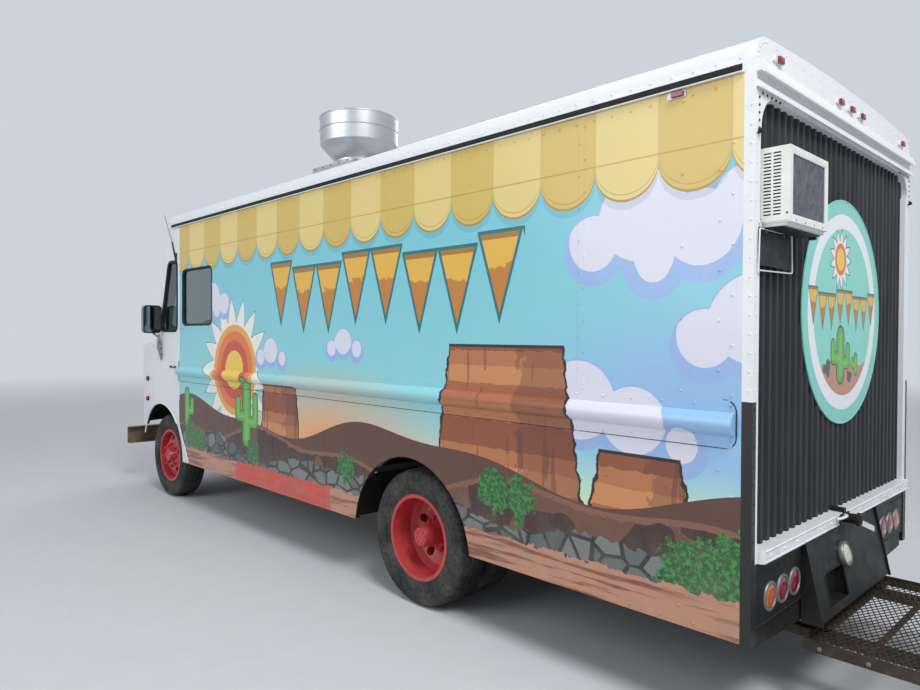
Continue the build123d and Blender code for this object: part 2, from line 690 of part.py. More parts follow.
# Rear deck: expanded plate in an angle frame, cross bars and the drop arms from the chassis
deck_half_width = 590
deck_top_z = 320
deck_rail = 52
deck_rail_proud = 12                     # how far the rails stand above the plate
deck_front_y = rear_y + 18
deck_mid_y = rear_y + deck_length / 2
deck_thick = 6
deck_flange = 50
deck_bar_count = 3
mesh_pitch = (130, 70)
mesh_hole = (104, 52)                    # diamonds of the plate, tip to tip
mesh_columns = int((deck_half_width - deck_flange) // mesh_pitch[0]) * 2
mesh_rows = int((deck_end_y - deck_mid_y - deck_flange) // mesh_pitch[1]) * 2
arm_x = rail_outer_x - 40
arm_half = 30
with BuildPart() as rear_deck:
    for side in (-1, 1):
        edge_x = side * deck_half_width
        block((edge_x, edge_x - side * deck_thick), (deck_front_y, deck_end_y),
              (deck_top_z - deck_rail + deck_rail_proud, deck_top_z + deck_rail_proud))
        block((edge_x, edge_x - side * deck_flange), (deck_front_y, deck_end_y),
              (deck_top_z - 2 * deck_thick, deck_top_z - deck_thick))
        block((side * (arm_x - arm_half), side * (arm_x + arm_half)), (frame_rear_y - 120, deck_end_y),
              (deck_top_z - deck_rail, deck_top_z - deck_thick))
        block((side * (arm_x - arm_half), side * (arm_x + arm_half)),
              (frame_rear_y - 120, frame_rear_y - 40),
              (deck_top_z - deck_rail, frame_bottom_z - seat_gap))
    block((-deck_half_width, deck_half_width), (deck_end_y - deck_thick, deck_end_y),
          (deck_top_z - deck_rail + deck_rail_proud, deck_top_z + deck_rail_proud))
    block((-deck_half_width, deck_half_width), (deck_front_y, deck_front_y + deck_thick),
          (deck_top_z - deck_rail + deck_rail_proud, deck_top_z))
    for i in range(deck_bar_count):
        y = deck_front_y + (i + 1) * (deck_end_y - deck_front_y) / (deck_bar_count + 1)
        block((-deck_half_width, deck_half_width), (y - 12, y + 12),
              (deck_top_z - 20, deck_top_z - deck_thick))
    # Plate with two staggered grids of diamonds
    with BuildSketch(level(deck_top_z - deck_thick)):
        with Locations((0, (deck_front_y + deck_end_y) / 2)):
            Rectangle(2 * deck_half_width, deck_end_y - deck_front_y)
        for columns, rows in ((mesh_columns, mesh_rows + 1), (mesh_columns - 1, mesh_rows)):
            with Locations((0, deck_mid_y)):
                with GridLocations(*mesh_pitch, columns, rows):
                    Polygon((mesh_hole[0] / 2, 0), (0, mesh_hole[1] / 2), (-mesh_hole[0] / 2, 0),
                            (0, -mesh_hole[1] / 2), mode=Mode.SUBTRACT)
    extrude(amount=deck_thick)
save(rear_deck.part, "rear_deck")


# Cab: outer form drawn with an inset, so that the same form cuts its own hollow
def cab_form(inset):
    """Nose and cab as one closed form, drawn inset from the outer skin."""
    w = half_width - inset
    back_y = wall_front_y + (1 if inset else 0)
    low_z = skirt_z - (40 if inset else 0)
    crease_y = front_axle_y - 165
    taper_y = nose_y + nose_corner_radius
    face_y = nose_y + inset
    radius = nose_corner_radius - inset
    with BuildPart() as nose:
        with BuildSketch(level(low_z)):
            with BuildLine():
                Line((-w, back_y), (w, back_y))
                Line((w, back_y), (w, crease_y))
                Line((w, crease_y), (w - nose_taper, taper_y))
                RadiusArc((w - nose_taper, taper_y), (w - nose_taper - radius, face_y), radius)
                Line((w - nose_taper - radius, face_y), (-w + nose_taper + radius, face_y))
                RadiusArc((-w + nose_taper + radius, face_y), (-w + nose_taper, taper_y), radius)
                Line((-w + nose_taper, taper_y), (-w, crease_y))
                Line((-w, crease_y), (-w, back_y))
            make_face()
        extrude(amount=nose_top_z + 60 - low_z)
        roll = nose_roll_radius
        top_z = nose_top_z - inset
        base_z = screen_base_z - inset
        with BuildSketch(along(-half_width - 10)):
            with BuildLine():
                Polyline((back_y + 1, low_z), (back_y + 1, base_z), (screen_base_y, base_z),
                         (face_y + roll, top_z))
                RadiusArc((face_y + roll, top_z), (face_y, top_z - roll), roll)
                Polyline((face_y, top_z - roll), (face_y, nose_bottom_z - (20 if inset else 0)),
                         (front_axle_y, nose_bottom_z - (20 if inset else 0)),
                         (front_axle_y, low_z), (back_y + 1, low_z))
            make_face()
        extrude(amount=body_width + 20, mode=Mode.INTERSECT)
    slope = (screen_top_y - screen_base_y) / (gutter_z - screen_base_z)
    push = inset * sqrt(1 + slope ** 2)
    low = screen_base_z - (60 if inset else 1)
    with BuildPart() as upper:
        with BuildSketch(along(-w)):
            with BuildLine():
                Polyline((back_y, low), (back_y, gutter_z + (1 if inset else 0)),
                         (screen_top_y + push, gutter_z + (1 if inset else 0)),
                         (screen_base_y + push - slope * (screen_base_z - low), low), close=True)
            make_face()
        extrude(amount=2 * w)
        slanted = upper.edges().filter_by(lambda e: abs(e.center().X) > w - 1).sort_by(Axis.Y)[:2]
        fillet(slanted, pillar_radius - inset)
    with BuildPart() as form:
        add(nose.part)
        add(upper.part)
    return form.part


screen_tilt = degrees(atan2(screen_top_y - screen_base_y, gutter_z - screen_base_z))
screen_mid = Vector(0, (screen_top_y + screen_base_y) / 2, (gutter_z + screen_base_z) / 2)
screen_plane = Plane(origin=screen_mid, x_dir=(1, 0, 0),
                     z_dir=(0, -cos(radians(screen_tilt)), sin(radians(screen_tilt))))
screen_pane = (880, 830)
screen_post = 60
screen_radius = 70
screen_drop = -10                        # of the panes from the middle of the sloped front
quarter_points = ((front_axle_y - 10, 1700), (wall_front_y - 36, 1700), (wall_front_y - 36, 2372),
                  (front_axle_y + 200, 2372))
grille_half_width = 410
grille_z = (800, 1170)
headlamp_x = 590
headlamp_z = 985
headlamp_radius = 92
hood_half_width = 470
hood_low_z = 1235
hood_hinge_y = screen_base_y - 70
hood_pin_y = hood_hinge_y - door_gap / 2
hood_pin_z = screen_base_z + 7
hood_hinge_xs = (-330, 330)
hood_hinge_length = 70

cab_outer = cab_form(0)
cab_inner = cab_form(cab_wall)


def quarter_sketch(x):
    """Quarter window outline on the side plane at x."""
    with BuildSketch(along(x)) as pane:
        with BuildLine():
            Polyline(*quarter_points, close=True)
        make_face()
        fillet(pane.vertices(), 55)
    return pane.sketch


def screen_sketch():
    """The two windscreen panes on the slanted plane."""
    with BuildSketch(screen_plane) as panes:
        with Locations((0, screen_drop)):
            with GridLocations(screen_pane[0] + screen_post, 1, 2, 1):
                RectangleRounded(screen_pane[0], screen_pane[1], screen_radius)
    return panes.sketch


with BuildPart() as firewall:
    add(cab_outer)
    block((-half_width, half_width), (firewall_y - 5, firewall_y), (frame_top_z + seat_gap, screen_base_z),
          mode=Mode.INTERSECT)
    block((-cover_half_width + 25, cover_half_width - 25), (firewall_y - 6, firewall_y + 1),
          (nose_bottom_z - 1, cover_top_z - 25), mode=Mode.SUBTRACT)

with BuildPart() as cab_shell:
    add(cab_outer)
    add(cab_inner, mode=Mode.SUBTRACT)
    add(firewall.part)
    for side in (-1, 1):
        # Trim of the arch, behind the joint with the side wall
        with BuildSketch(along(side * (half_width - cab_wall / 2) - cab_wall / 2)):
            with BuildLine():
                outline = [(wall_front_y + y, z) for y, z in front_curve]
                Polyline((wall_front_y - 30, 1018), *outline, (wall_front_y - 30, skirt_z), close=True)
            make_face()
        extrude(amount=cab_wall)
        # Front wheel arch
        rod((side * (half_width - 420), front_axle_y, wheel_z),
            (side * (half_width + 20), front_axle_y, wheel_z),
            arch_radius, mode=Mode.SUBTRACT)
        # Quarter window
        extrude(quarter_sketch(side * (half_width - 60)), amount=side * 120, mode=Mode.SUBTRACT)
        # Headlamp hole
        rod((side * headlamp_x, nose_y - 10, headlamp_z), (side * headlamp_x, nose_y + 80, headlamp_z),
            headlamp_radius, mode=Mode.SUBTRACT)
    extrude(screen_sketch(), amount=80, both=True, mode=Mode.SUBTRACT)
    block((-grille_half_width, grille_half_width), (nose_y - 10, nose_y + 80), grille_z, mode=Mode.SUBTRACT)
    block((-hood_half_width, hood_half_width), (nose_y - 10, hood_hinge_y), (hood_low_z, nose_top_z + 100),
          mode=Mode.SUBTRACT)
    # Hood hinge ears and pins
    for x in hood_hinge_xs:
        for end in (-1, 1):
            ear_x = x + end * (hood_hinge_length / 2 + 7)
            block((ear_x - 5, ear_x + 5), (hood_pin_y - 8, hood_pin_y + 34), (hood_pin_z - 8, hood_pin_z + 8))
            block((ear_x - 5, ear_x + 5), (hood_hinge_y, hood_pin_y + 34), (hood_pin_z - 26, hood_pin_z))
        rod((x - hood_hinge_length / 2 - 7, hood_pin_y, hood_pin_z),
            (x + hood_hinge_length / 2 + 7, hood_pin_y, hood_pin_z), 5)
save(cab_shell.part, "cab_shell")

# Hood lid: the same skin, between the grille and the windscreen
with BuildPart() as hood_lid:
    add(cab_outer)
    add(cab_inner, mode=Mode.SUBTRACT)
    block((-hood_half_width + door_gap, hood_half_width - door_gap), (nose_y - 10, hood_hinge_y - door_gap),
          (hood_low_z + door_gap, nose_top_z + 100), mode=Mode.INTERSECT)
    for x in hood_hinge_xs:
        block((x - hood_hinge_length / 2, x + hood_hinge_length / 2), (hood_pin_y - 50, hood_pin_y - 3),
              (hood_pin_z - 24, hood_pin_z + 4))
        rod((x - hood_hinge_length / 2, hood_pin_y, hood_pin_z),
            (x + hood_hinge_length / 2, hood_pin_y, hood_pin_z), 9)
        rod((x - hood_hinge_length, hood_pin_y, hood_pin_z), (x + hood_hinge_length, hood_pin_y, hood_pin_z),
            5 + bearing_gap, mode=Mode.SUBTRACT)
save(hood_lid.part, "hood_lid")

# Grille: frame and bars across the nose opening
grille_bars = 7
with BuildPart() as grille:
    block((-grille_half_width, grille_half_width), (nose_y, nose_y + 22), grille_z)
    block((-grille_half_width + 24, grille_half_width - 24), (nose_y - 1, nose_y + 23),
          (grille_z[0] + 24, grille_z[1] - 24), mode=Mode.SUBTRACT)
    bar_pitch = (grille_z[1] - grille_z[0] - 48) / (grille_bars + 1)
    for i in range(grille_bars):
        z = grille_z[0] + 24 + bar_pitch * (i + 1)
        block((-grille_half_width + 20, grille_half_width - 20), (nose_y + 4, nose_y + 16), (z - 8, z + 8))
save(grille.part, "grille")

# Cab glass: two screen panes, two quarter panes and the driver's window
glass = 6
with BuildPart() as cab_glass:
    extrude(screen_sketch().moved(Location(screen_plane.z_dir * -14)), amount=-glass)
    for side in (-1, 1):
        extrude(quarter_sketch(side * (half_width - 18)), amount=side * glass)
    with BuildSketch(along(half_width - 22)):
        with Locations((sum(driver_window_y) / 2, sum(driver_window_z) / 2)):
            RectangleRounded(driver_window_y[1] - driver_window_y[0],
                             driver_window_z[1] - driver_window_z[0], window_radius)
    extrude(amount=glass)
save(cab_glass.part, "cab_glass")

# Front bumper: channel open to the rear, on two brackets
bumper_z = (443, 625)
bumper_depth = 82
bumper_plate = 6
with BuildPart() as front_bumper:
    block((-half_width, half_width), (bumper_y, bumper_y + bumper_depth), bumper_z)
    block((-half_width - 1, half_width + 1), (bumper_y + bumper_plate, bumper_y + bumper_depth + 1),
          (bumper_z[0] + bumper_plate, bumper_z[1] - bumper_plate), mode=Mode.SUBTRACT)
    for side in (-1, 1):
        block((side * (rail_outer_x + seat_gap), side * (rail_outer_x + 12)),
              (bumper_y + bumper_plate, frame_front_y + 135),
              (bumper_z[0] + 60, bumper_z[1] - bumper_plate + 1))
        block((side * (rail_outer_x + seat_gap), side * (rail_outer_x + 12)),
              (frame_front_y, frame_front_y + 135),
              (bumper_z[0] + 60, frame_top_z - 40))
save(front_bumper.part, "front_bumper")

# Front lamps: headlamps in their bezels and the amber markers
marker_z = (982, 1192)
marker_y = front_axle_y - 390
crease_y = front_axle_y - 165
with BuildPart() as front_lamps:
    for side in (-1, 1):
        with BuildSketch(Plane(origin=(side * headlamp_x, nose_y, headlamp_z), x_dir=(1, 0, 0),
                               z_dir=(0, 1, 0))):
            Circle(headlamp_radius)
        extrude(amount=-12, taper=25)
        rod((side * headlamp_x, nose_y, headlamp_z), (side * headlamp_x, nose_y + 60, headlamp_z),
            headlamp_radius)
        for z in marker_z:
            lean = half_width - nose_taper * (crease_y - marker_y) / (crease_y - nose_y - nose_corner_radius)
            rod((side * (lean + 2), marker_y, z), (side * (lean + 18), marker_y, z), 24)
save(front_lamps.part, "front_lamps")

# Rear lamps: six round lamps, five clearance lamps on the header, one marker on each side
clearance_x = (half_width - 200, 160, 0, -160, -half_width + 200)
clearance_z = 2792
side_marker_y = rear_axle_y + 1745
side_marker_z = (2668, 2700)
side_marker_half = 45
side_marker_proud = 18
reverse_lamp_x = 115
reverse_lamp_z = 605
reverse_lamp_radius = 61
reverse_lamp_proud = 26
with BuildPart() as rear_lamps:
    for side in (-1, 1):
        for inset in lamp_table:
            x = side * (half_width - inset)
            rod((x, lower_face_y - 30, lamp_z), (x, lower_face_y + 6, lamp_z), lamp_radius)
            rod((x, lower_face_y, lamp_z), (x, lower_face_y + 4, lamp_z), lamp_radius + lamp_flange)
        block((side * half_width, side * (half_width + side_marker_proud)),
              (side_marker_y - side_marker_half, side_marker_y + side_marker_half), side_marker_z)
    for x in clearance_x:
        block((x - 38, x + 38), (rear_y, rear_y + 20), (clearance_z - 15, clearance_z + 15))
    slope_run = step_proud + rear_y - lower_face_y - 6
    step_tilt = atan2(slope_run, step_top_z - step_low_z)
    step_out = Vector(0, cos(step_tilt), sin(step_tilt))
    lamp_y = rear_y + step_proud - slope_run * (reverse_lamp_z - step_low_z) / (step_top_z - step_low_z)
    foot = Vector(reverse_lamp_x, lamp_y, reverse_lamp_z) + step_out * seat_gap
    rod(foot, foot + step_out * reverse_lamp_proud, reverse_lamp_radius)
save(rear_lamps.part, "rear_lamps")

# Engine cover between the seats and over the raised deck
cover_y = (firewall_y + seat_gap, front_axle_y + 640)
with BuildPart() as engine_cover:
    block((-cover_half_width, cover_half_width), cover_y, (floor_z + seat_gap, cover_top_z))
    fillet(engine_cover.faces().sort_by(Axis.Z)[-1].edges(), 50)
    block((-cover_half_width + 25, cover_half_width - 25), (cover_y[0] - 1, cover_y[1] - 25),
          (floor_z - 1, cover_top_z - 25), mode=Mode.SUBTRACT)
    block((-cover_half_width - 1, cover_half_width + 1), (cover_y[0] - 1, wheelhouse_y + seat_gap),
          (floor_z - 1, wheelhouse_z + seat_gap), mode=Mode.SUBTRACT)
save(engine_cover.part, "engine_cover")

# Dashboard with the steering column
dash_y = (firewall_y + seat_gap, screen_base_y + 250)
driver_x = half_width - 525
wheel_centre = Vector(driver_x, front_axle_y + 250, 1640)
column_tilt = 42                         # column's slope from level, degrees
column_dir = Vector(0, cos(radians(column_tilt)), sin(radians(column_tilt)))
wheel_up = Vector(0, -sin(radians(column_tilt)), cos(radians(column_tilt)))
column_radius = 24
dash_half_width = half_width - cab_wall - nose_taper / 2 - seat_gap
dash_z = (1330, 1545)
with BuildPart() as dashboard:
    with BuildSketch(along(-dash_half_width)):
        with BuildLine():
            Polyline((dash_y[0], dash_z[0]), (dash_y[1] - 40, dash_z[0]), (dash_y[1], dash_z[0] + 50),
                     (dash_y[1] - 30, dash_z[1] - 45), (dash_y[0] + 130, dash_z[1]),
                     (dash_y[0] + 80, dash_z[1] - 15), (dash_y[0], dash_z[1] - 55), close=True)
        make_face()
    extrude(amount=2 * dash_half_width)
    rod(wheel_centre - column_dir * 440, wheel_centre - column_dir * 40, column_radius)
save(dashboard.part, "dashboard")

# Steering wheel: rim, three spokes and hub on the column
hand_wheel_radius = 228
with BuildPart() as steering_wheel:
    with BuildSketch(Plane(origin=wheel_centre, x_dir=(1, 0, 0), z_dir=-wheel_up)):
        with Locations((hand_wheel_radius, 0)):
            Circle(13)
    revolve(axis=Axis(wheel_centre, column_dir))
    rod(wheel_centre - column_dir * (40 - seat_gap), wheel_centre + column_dir * 8, 40)
    for i in range(3):
        angle = radians(90 + 120 * i)
        across_dir = Vector(1, 0, 0) * cos(angle) + wheel_up * sin(angle)
        rod(wheel_centre, wheel_centre + across_dir * (hand_wheel_radius - 3), 10)
save(steering_wheel.part, "steering_wheel")

# Driver's seat: box pedestal, rounded cushion and a back that leans rearwards
seat_y = (front_axle_y + 620, front_axle_y + 1100)
seat_half = 250
seat_z = (1240, 1350)                    # cushion's underside and top
seat_back_z = 1960
seat_back_thick = 110
seat_lean = 110
seat_round = 28
pedestal_half = 150
with BuildPart() as seat_back:
    with BuildSketch(along(driver_x - seat_half)):
        with BuildLine():
            Polyline((seat_y[1] - seat_back_thick, seat_z[1] - 10), (seat_y[1], seat_z[1] - 10),
                     (seat_y[1] + seat_lean, seat_back_z),
                     (seat_y[1] + seat_lean - seat_back_thick + 20, seat_back_z), close=True)
        make_face()
    extrude(amount=2 * seat_half)
    fillet(seat_back.faces().sort_by(Axis.Z)[-1].edges(), seat_round)
with BuildPart() as driver_seat:
    block((driver_x - seat_half, driver_x + seat_half), seat_y, seat_z)
    fillet(driver_seat.edges().filter_by(Axis.Z), 2 * seat_round)
    fillet(driver_seat.faces().sort_by(Axis.Z)[-1].edges(), seat_round)
    block((driver_x - pedestal_half, driver_x + pedestal_half), (seat_y[0] + 60, seat_y[1] - 60),
          (floor_z + seat_gap, seat_z[0]))
    add(seat_back.part)
save(driver_seat.part, "driver_seat")

# Mirrors on leaf brackets, one each side
mirror_y = front_axle_y + 50
mirror_x = half_width + 108
mirror_half = (88, 139)
mirror_z = 1812
with BuildPart() as mirrors:
    for side in (-1, 1):
        with BuildSketch(across(mirror_y + 12)):
            with Locations((side * mirror_x, mirror_z)):
                RectangleRounded(2 * mirror_half[0], 2 * mirror_half[1], 35)
        extrude(amount=60)
        rod((side * mirror_x, mirror_y - 20, mirror_z - mirror_half[1] + 10),
            (side * (half_width + 20), mirror_y - 20, 1620), 9)
        with BuildSketch(across(mirror_y - 8)):
            with BuildLine():
                Polyline((side * half_width, 1400), (side * (half_width + 14), 1400),
                         (side * (half_width + 52), 1530), (side * (half_width + 40), 1660),
                         (side * (half_width + 26), 1660), (side * half_width, 1540), close=True)
            make_face()
        extrude(amount=24)
save(mirrors.part, "mirrors")

# Exhaust fan: square curb, inlet neck and the spun bowl with its inner dome
fan_x = half_width - 680
fan_y = rear_axle_y - 1510
fan_curb_half = 272
fan_curb_z = 3032
fan_neck_z = 3086
fan_shoulder_z = 3206
fan_rim_z = 3440
fan_radius = 320
fan_neck_radius = 197
bowl_wall = 5
with BuildPart() as exhaust_fan:
    block((fan_x - fan_curb_half, fan_x + fan_curb_half), (fan_y - fan_curb_half, fan_y + fan_curb_half),
          (roof_edge_z + 5, fan_curb_z))
    with BuildSketch(Plane(origin=(fan_x, fan_y, 0), x_dir=(1, 0, 0), z_dir=(0, -1, 0))):
        with BuildLine():
            Polyline(
                (0, fan_curb_z), (fan_neck_radius, fan_curb_z), (fan_neck_radius, fan_neck_z),
                (fan_radius - 22, fan_shoulder_z - 8), (fan_radius - 4, fan_shoulder_z + 12),
                (fan_radius, fan_rim_z), (fan_radius - bowl_wall, fan_rim_z),
                (fan_radius - bowl_wall - 4, fan_shoulder_z + 30), (fan_radius - 70, fan_shoulder_z + 16),
                (fan_radius - 76, fan_rim_z - 90), (fan_radius - 110, fan_rim_z - 30), (0, fan_rim_z - 4),
                close=True,
            )
        make_face()
    revolve(axis=Axis((fan_x, fan_y, 0), (0, 0, 1)))
    add(roof.part, mode=Mode.SUBTRACT)
save(exhaust_fan.part, "exhaust_fan")

# Air conditioner through the top left of the rear panel
ac_x = (opening_half_width - 408, opening_half_width - 4)
ac_y = (panel_crest_y + seat_gap, rear_y + 114)
ac_z = (2106, 2402)
louvre_count = 19
louvre_length = 30
louvre_depth = 6
louvre_margin = 56                       # height of the side left above and below the slots
louvre_columns = (36, 74)              # distance of each column from the front face
with BuildPart() as air_conditioner:
    block(ac_x, ac_y, ac_z)
    block((ac_x[0] + 22, ac_x[1] - 22), (ac_y[1] - 10, ac_y[1] + 1), (ac_z[0] + 24, ac_z[1] - 20),
          mode=Mode.SUBTRACT)
    louvre_pitch = (ac_z[1] - ac_z[0] - louvre_margin) / (louvre_count - 1)
    for x in ac_x:
        with BuildSketch(along(x - louvre_depth)):
            with Locations((ac_y[1] - (sum(louvre_columns) + louvre_length) / 2, sum(ac_z) / 2 + 4)):
                with GridLocations(louvre_columns[1] - louvre_columns[0], louvre_pitch, 2, louvre_count):
                    Rectangle(louvre_length, 6)
        extrude(amount=2 * louvre_depth, mode=Mode.SUBTRACT)
save(air_conditioner.part, "air_conditioner")

# Number plate holder under the air conditioner: rails, blank plate with its two bolt holes
plate_x = half_width - 186
plate_z = 2018
plate_size = (305, 152)
plate_thick = 3
plate_y = panel_crest_y + 26
plate_hole_radius = 3.5
plate_hole_pitch = 178
with BuildPart() as plate_holder:
    with BuildSketch(across(plate_y + plate_thick)):
        with Locations((plate_x, plate_z)):
            RectangleRounded(*plate_size, 12)
        with Locations((plate_x, plate_z + plate_size[1] / 2 - 15)):
            with GridLocations(plate_hole_pitch, 1, 2, 1):
                Circle(plate_hole_radius, mode=Mode.SUBTRACT)
    extrude(amount=plate_thick)
    for side in (-1, 1):
        x = plate_x + side * (plate_size[0] / 2 - 40)
        block((x - 8, x + 8), (panel_crest_y + seat_gap, plate_y), (plate_z - 60, plate_z + 60))
save(plate_holder.part, "plate_holder")

# Latch on the sill: base, upright bar and the round barrel with its strap
latch_x = 115
latch_y = rear_y + sill_proud + seat_gap
latch_z = 784
latch_plate = 8
latch_radius = 24
latch_cap = (31, 16)                     # radius and length of the barrel's cap
latch_length = 78
latch_bar = 14
with BuildPart() as panel_latch:
    block((latch_x - 60, latch_x + 60), (latch_y, latch_y + latch_plate), (sill_low_z + 4, sill_top_z - 4))
    block((latch_x - latch_bar, latch_x + latch_bar), (panel_crest_y + seat_gap, latch_y + latch_plate),
          (sill_top_z + seat_gap, sill_top_z + 20))
    block((latch_x - latch_bar, latch_x + latch_bar), (latch_y, latch_y + latch_plate),
          (sill_top_z - 10, sill_top_z + 20))
    rod((latch_x, latch_y, latch_z), (latch_x, latch_y + latch_length - latch_cap[1], latch_z), latch_radius)
    rod((latch_x, latch_y + latch_length - latch_cap[1], latch_z), (latch_x, latch_y + latch_length, latch_z),
        latch_cap[0])
    with BuildSketch(across(latch_y + latch_length - 24)):
        with BuildLine():
            Polyline((latch_x - 22, latch_z - 22), (latch_x - 95, latch_z - 50),
                     (latch_x - 300, latch_z - 118), (latch_x - 296, latch_z - 90),
                     (latch_x - 95, latch_z - 22), (latch_x - 22, latch_z + 6), close=True)
        make_face()
    extrude(amount=6)
save(panel_latch.part, "panel_latch")

# Round blank sign on the rear panel
sign_radius = 560
sign_x = -20
sign_z = 1784
sign_thick = 5
with BuildPart() as rear_sign:
    rod((sign_x, panel_crest_y + seat_gap, sign_z), (sign_x, panel_crest_y + sign_thick, sign_z),
        sign_radius)
save(rear_sign.part, "rear_sign")

# Serving hatch: lies over the serving opening and lifts on its top edge
with BuildPart() as serving_hatch:
    block((hatch_x, hatch_x - hatch_thick), (serving_y[0] - hatch_lap, serving_y[1] + hatch_lap),
          (serving_z[0] - hatch_lap, hatch_top_z))
    for y in hinge_ys:
        block((hatch_pin_x + 5, hatch_pin_x - 5), (y - hinge_length / 2, y + hinge_length / 2),
              (hatch_top_z - 10, hatch_pin_z))
        rod((hatch_pin_x, y - hinge_length / 2, hatch_pin_z),
            (hatch_pin_x, y + hinge_length / 2, hatch_pin_z), hinge_barrel)
        rod((hatch_pin_x, y - hinge_length, hatch_pin_z), (hatch_pin_x, y + hinge_length, hatch_pin_z),
            hinge_pin_radius + bearing_gap, mode=Mode.SUBTRACT)
save(serving_hatch.part, "serving_hatch")

# Serving shelf: folded down in front of the rub rail
with BuildPart() as serving_shelf:
    block((shelf_x, shelf_x - shelf_thick), (serving_y[0] + 40, serving_y[1] - 40),
          (shelf_pin_z - 16 - shelf_depth, shelf_pin_z - 16))
    for y in hinge_ys:
        block((shelf_pin_x + 5, shelf_pin_x - 5), (y - hinge_length / 2, y + hinge_length / 2),
              (shelf_pin_z - 26, shelf_pin_z))
        rod((shelf_pin_x, y - hinge_length / 2, shelf_pin_z),
            (shelf_pin_x, y + hinge_length / 2, shelf_pin_z), hinge_barrel)
        rod((shelf_pin_x, y - hinge_length, shelf_pin_z), (shelf_pin_x, y + hinge_length, shelf_pin_z),
            hinge_pin_radius + bearing_gap, mode=Mode.SUBTRACT)
save(serving_shelf.part, "serving_shelf")

# Entry door: slides rearwards inside the right wall, hung on its track by two rollers
door_window_z = (1560, 2280)
with BuildPart() as entry_door:
    block(door_x, (entry_y[0] - door_lap, entry_y[1] + door_lap), (floor_z + 8, entry_z[1] + door_lap))
    with BuildSketch(along(door_x[0] - 10)):
        with Locations((sum(entry_y) / 2, sum(door_window_z) / 2)):
            RectangleRounded(430, door_window_z[1] - door_window_z[0], 60)
    extrude(amount=door_thick + 20, mode=Mode.SUBTRACT)
    for y in (entry_y[0] + 90, entry_y[1] - 90):
        block((door_x[1], door_x[1] - 8), (y - 25, y + 25), (entry_z[1], track_z + 40))
        roller_z = track_z + 6 + seat_gap + 14
        rod((door_x[1] - 2, y, roller_z), (door_x[0] + 2, y, roller_z), 14)
save(entry_door.part, "entry_door")

with BuildPart() as door_glass:
    with BuildSketch(along(door_x[0] + 10)):
        with Locations((sum(entry_y) / 2, sum(door_window_z) / 2)):
            RectangleRounded(430, door_window_z[1] - door_window_z[0], 60)
    extrude(amount=glass)
save(door_glass.part, "door_glass")

# Kitchen: cook line on the left, serving counter on the right, canopy over the cook line
counter_z = 1700
serve_counter_z = serving_z[0] - 20
cook_depth = 620
serve_depth = 420
worktop = 40
worktop_lip = 22                         # overhang towards the aisle
toe_space = (70, 100)                    # depth and height of the recess above the floor
cook_y = (front_axle_y + 1500, well_y[0] - 60)
counter_table = (
    # side, depth, worktop's top, y where it starts, y where it ends
    (1, cook_depth, counter_z, cook_y[0], wall_rear_y - 260),
    (-1, serve_depth, serve_counter_z, serving_y[0], wall_rear_y - 160),
)
with BuildPart() as kitchen_counters:
    for side, depth, top_z, start_y, end_y in counter_table:
        wall_x = side * (wall_inner_x - seat_gap)
        face_x = side * (wall_inner_x - depth)
        # Cabinet over the wheel box, the deeper one in front of it, then the worktop
        block((wall_x, face_x), (start_y, end_y), (well_top_z + well_wall + seat_gap, top_z - worktop))
        block((wall_x, face_x), (start_y, cook_y[1]), (floor_z + seat_gap, top_z - worktop))
        block((face_x - 1, face_x + side * toe_space[0]), (start_y - 1, cook_y[1] + 1),
              (floor_z, floor_z + toe_space[1]), mode=Mode.SUBTRACT)
        block((wall_x, face_x - side * worktop_lip), (start_y, end_y), (top_z - worktop, top_z))
save(kitchen_counters.part, "kitchen_counters")

hood_y = (fan_y - 850, fan_y + 850)
canopy_z = (2470, 2765)
canopy_x = fan_x - 200
canopy_slope = 70                        # how far the front leans in to the top
canopy_lip = 120
canopy_plate = 20
with BuildPart() as range_hood:
    with BuildSketch(across(hood_y[1])):
        with BuildLine():
            Polyline((wall_inner_x - seat_gap, canopy_z[0]), (wall_inner_x - seat_gap, canopy_z[1]),
                     (canopy_x, canopy_z[1]), (canopy_x - canopy_slope, canopy_z[0] + canopy_lip),
                     (canopy_x - canopy_slope, canopy_z[0]), close=True)
        make_face()
    extrude(amount=hood_y[1] - hood_y[0])
    with BuildSketch(across(hood_y[1] - canopy_plate)):
        with BuildLine():
            Polyline((wall_inner_x - canopy_plate, canopy_z[0] - 1),
                     (wall_inner_x - canopy_plate, canopy_z[1] - canopy_plate),
                     (canopy_x + 10, canopy_z[1] - canopy_plate),
                     (canopy_x - canopy_slope + canopy_plate, canopy_z[0] + canopy_lip - 8),
                     (canopy_x - canopy_slope + canopy_plate, canopy_z[0] - 1), close=True)
        make_face()
    extrude(amount=hood_y[1] - hood_y[0] - 2 * canopy_plate, mode=Mode.SUBTRACT)
    block((fan_x - 180, fan_x + 180), (fan_y - 180, fan_y + 180), (canopy_z[1] - canopy_plate, roof_edge_z))
    add(roof.part.moved(Location((0, 0, -seat_gap))), mode=Mode.SUBTRACT)
save(range_hood.part, "range_hood")


# Steering knuckles with their arms
knuckle_gap = 1
lug_height = 26
arm_length = 150
arm_z = wheel_z - eye_height / 2 - knuckle_gap - lug_height
tie_ball_radius = 12


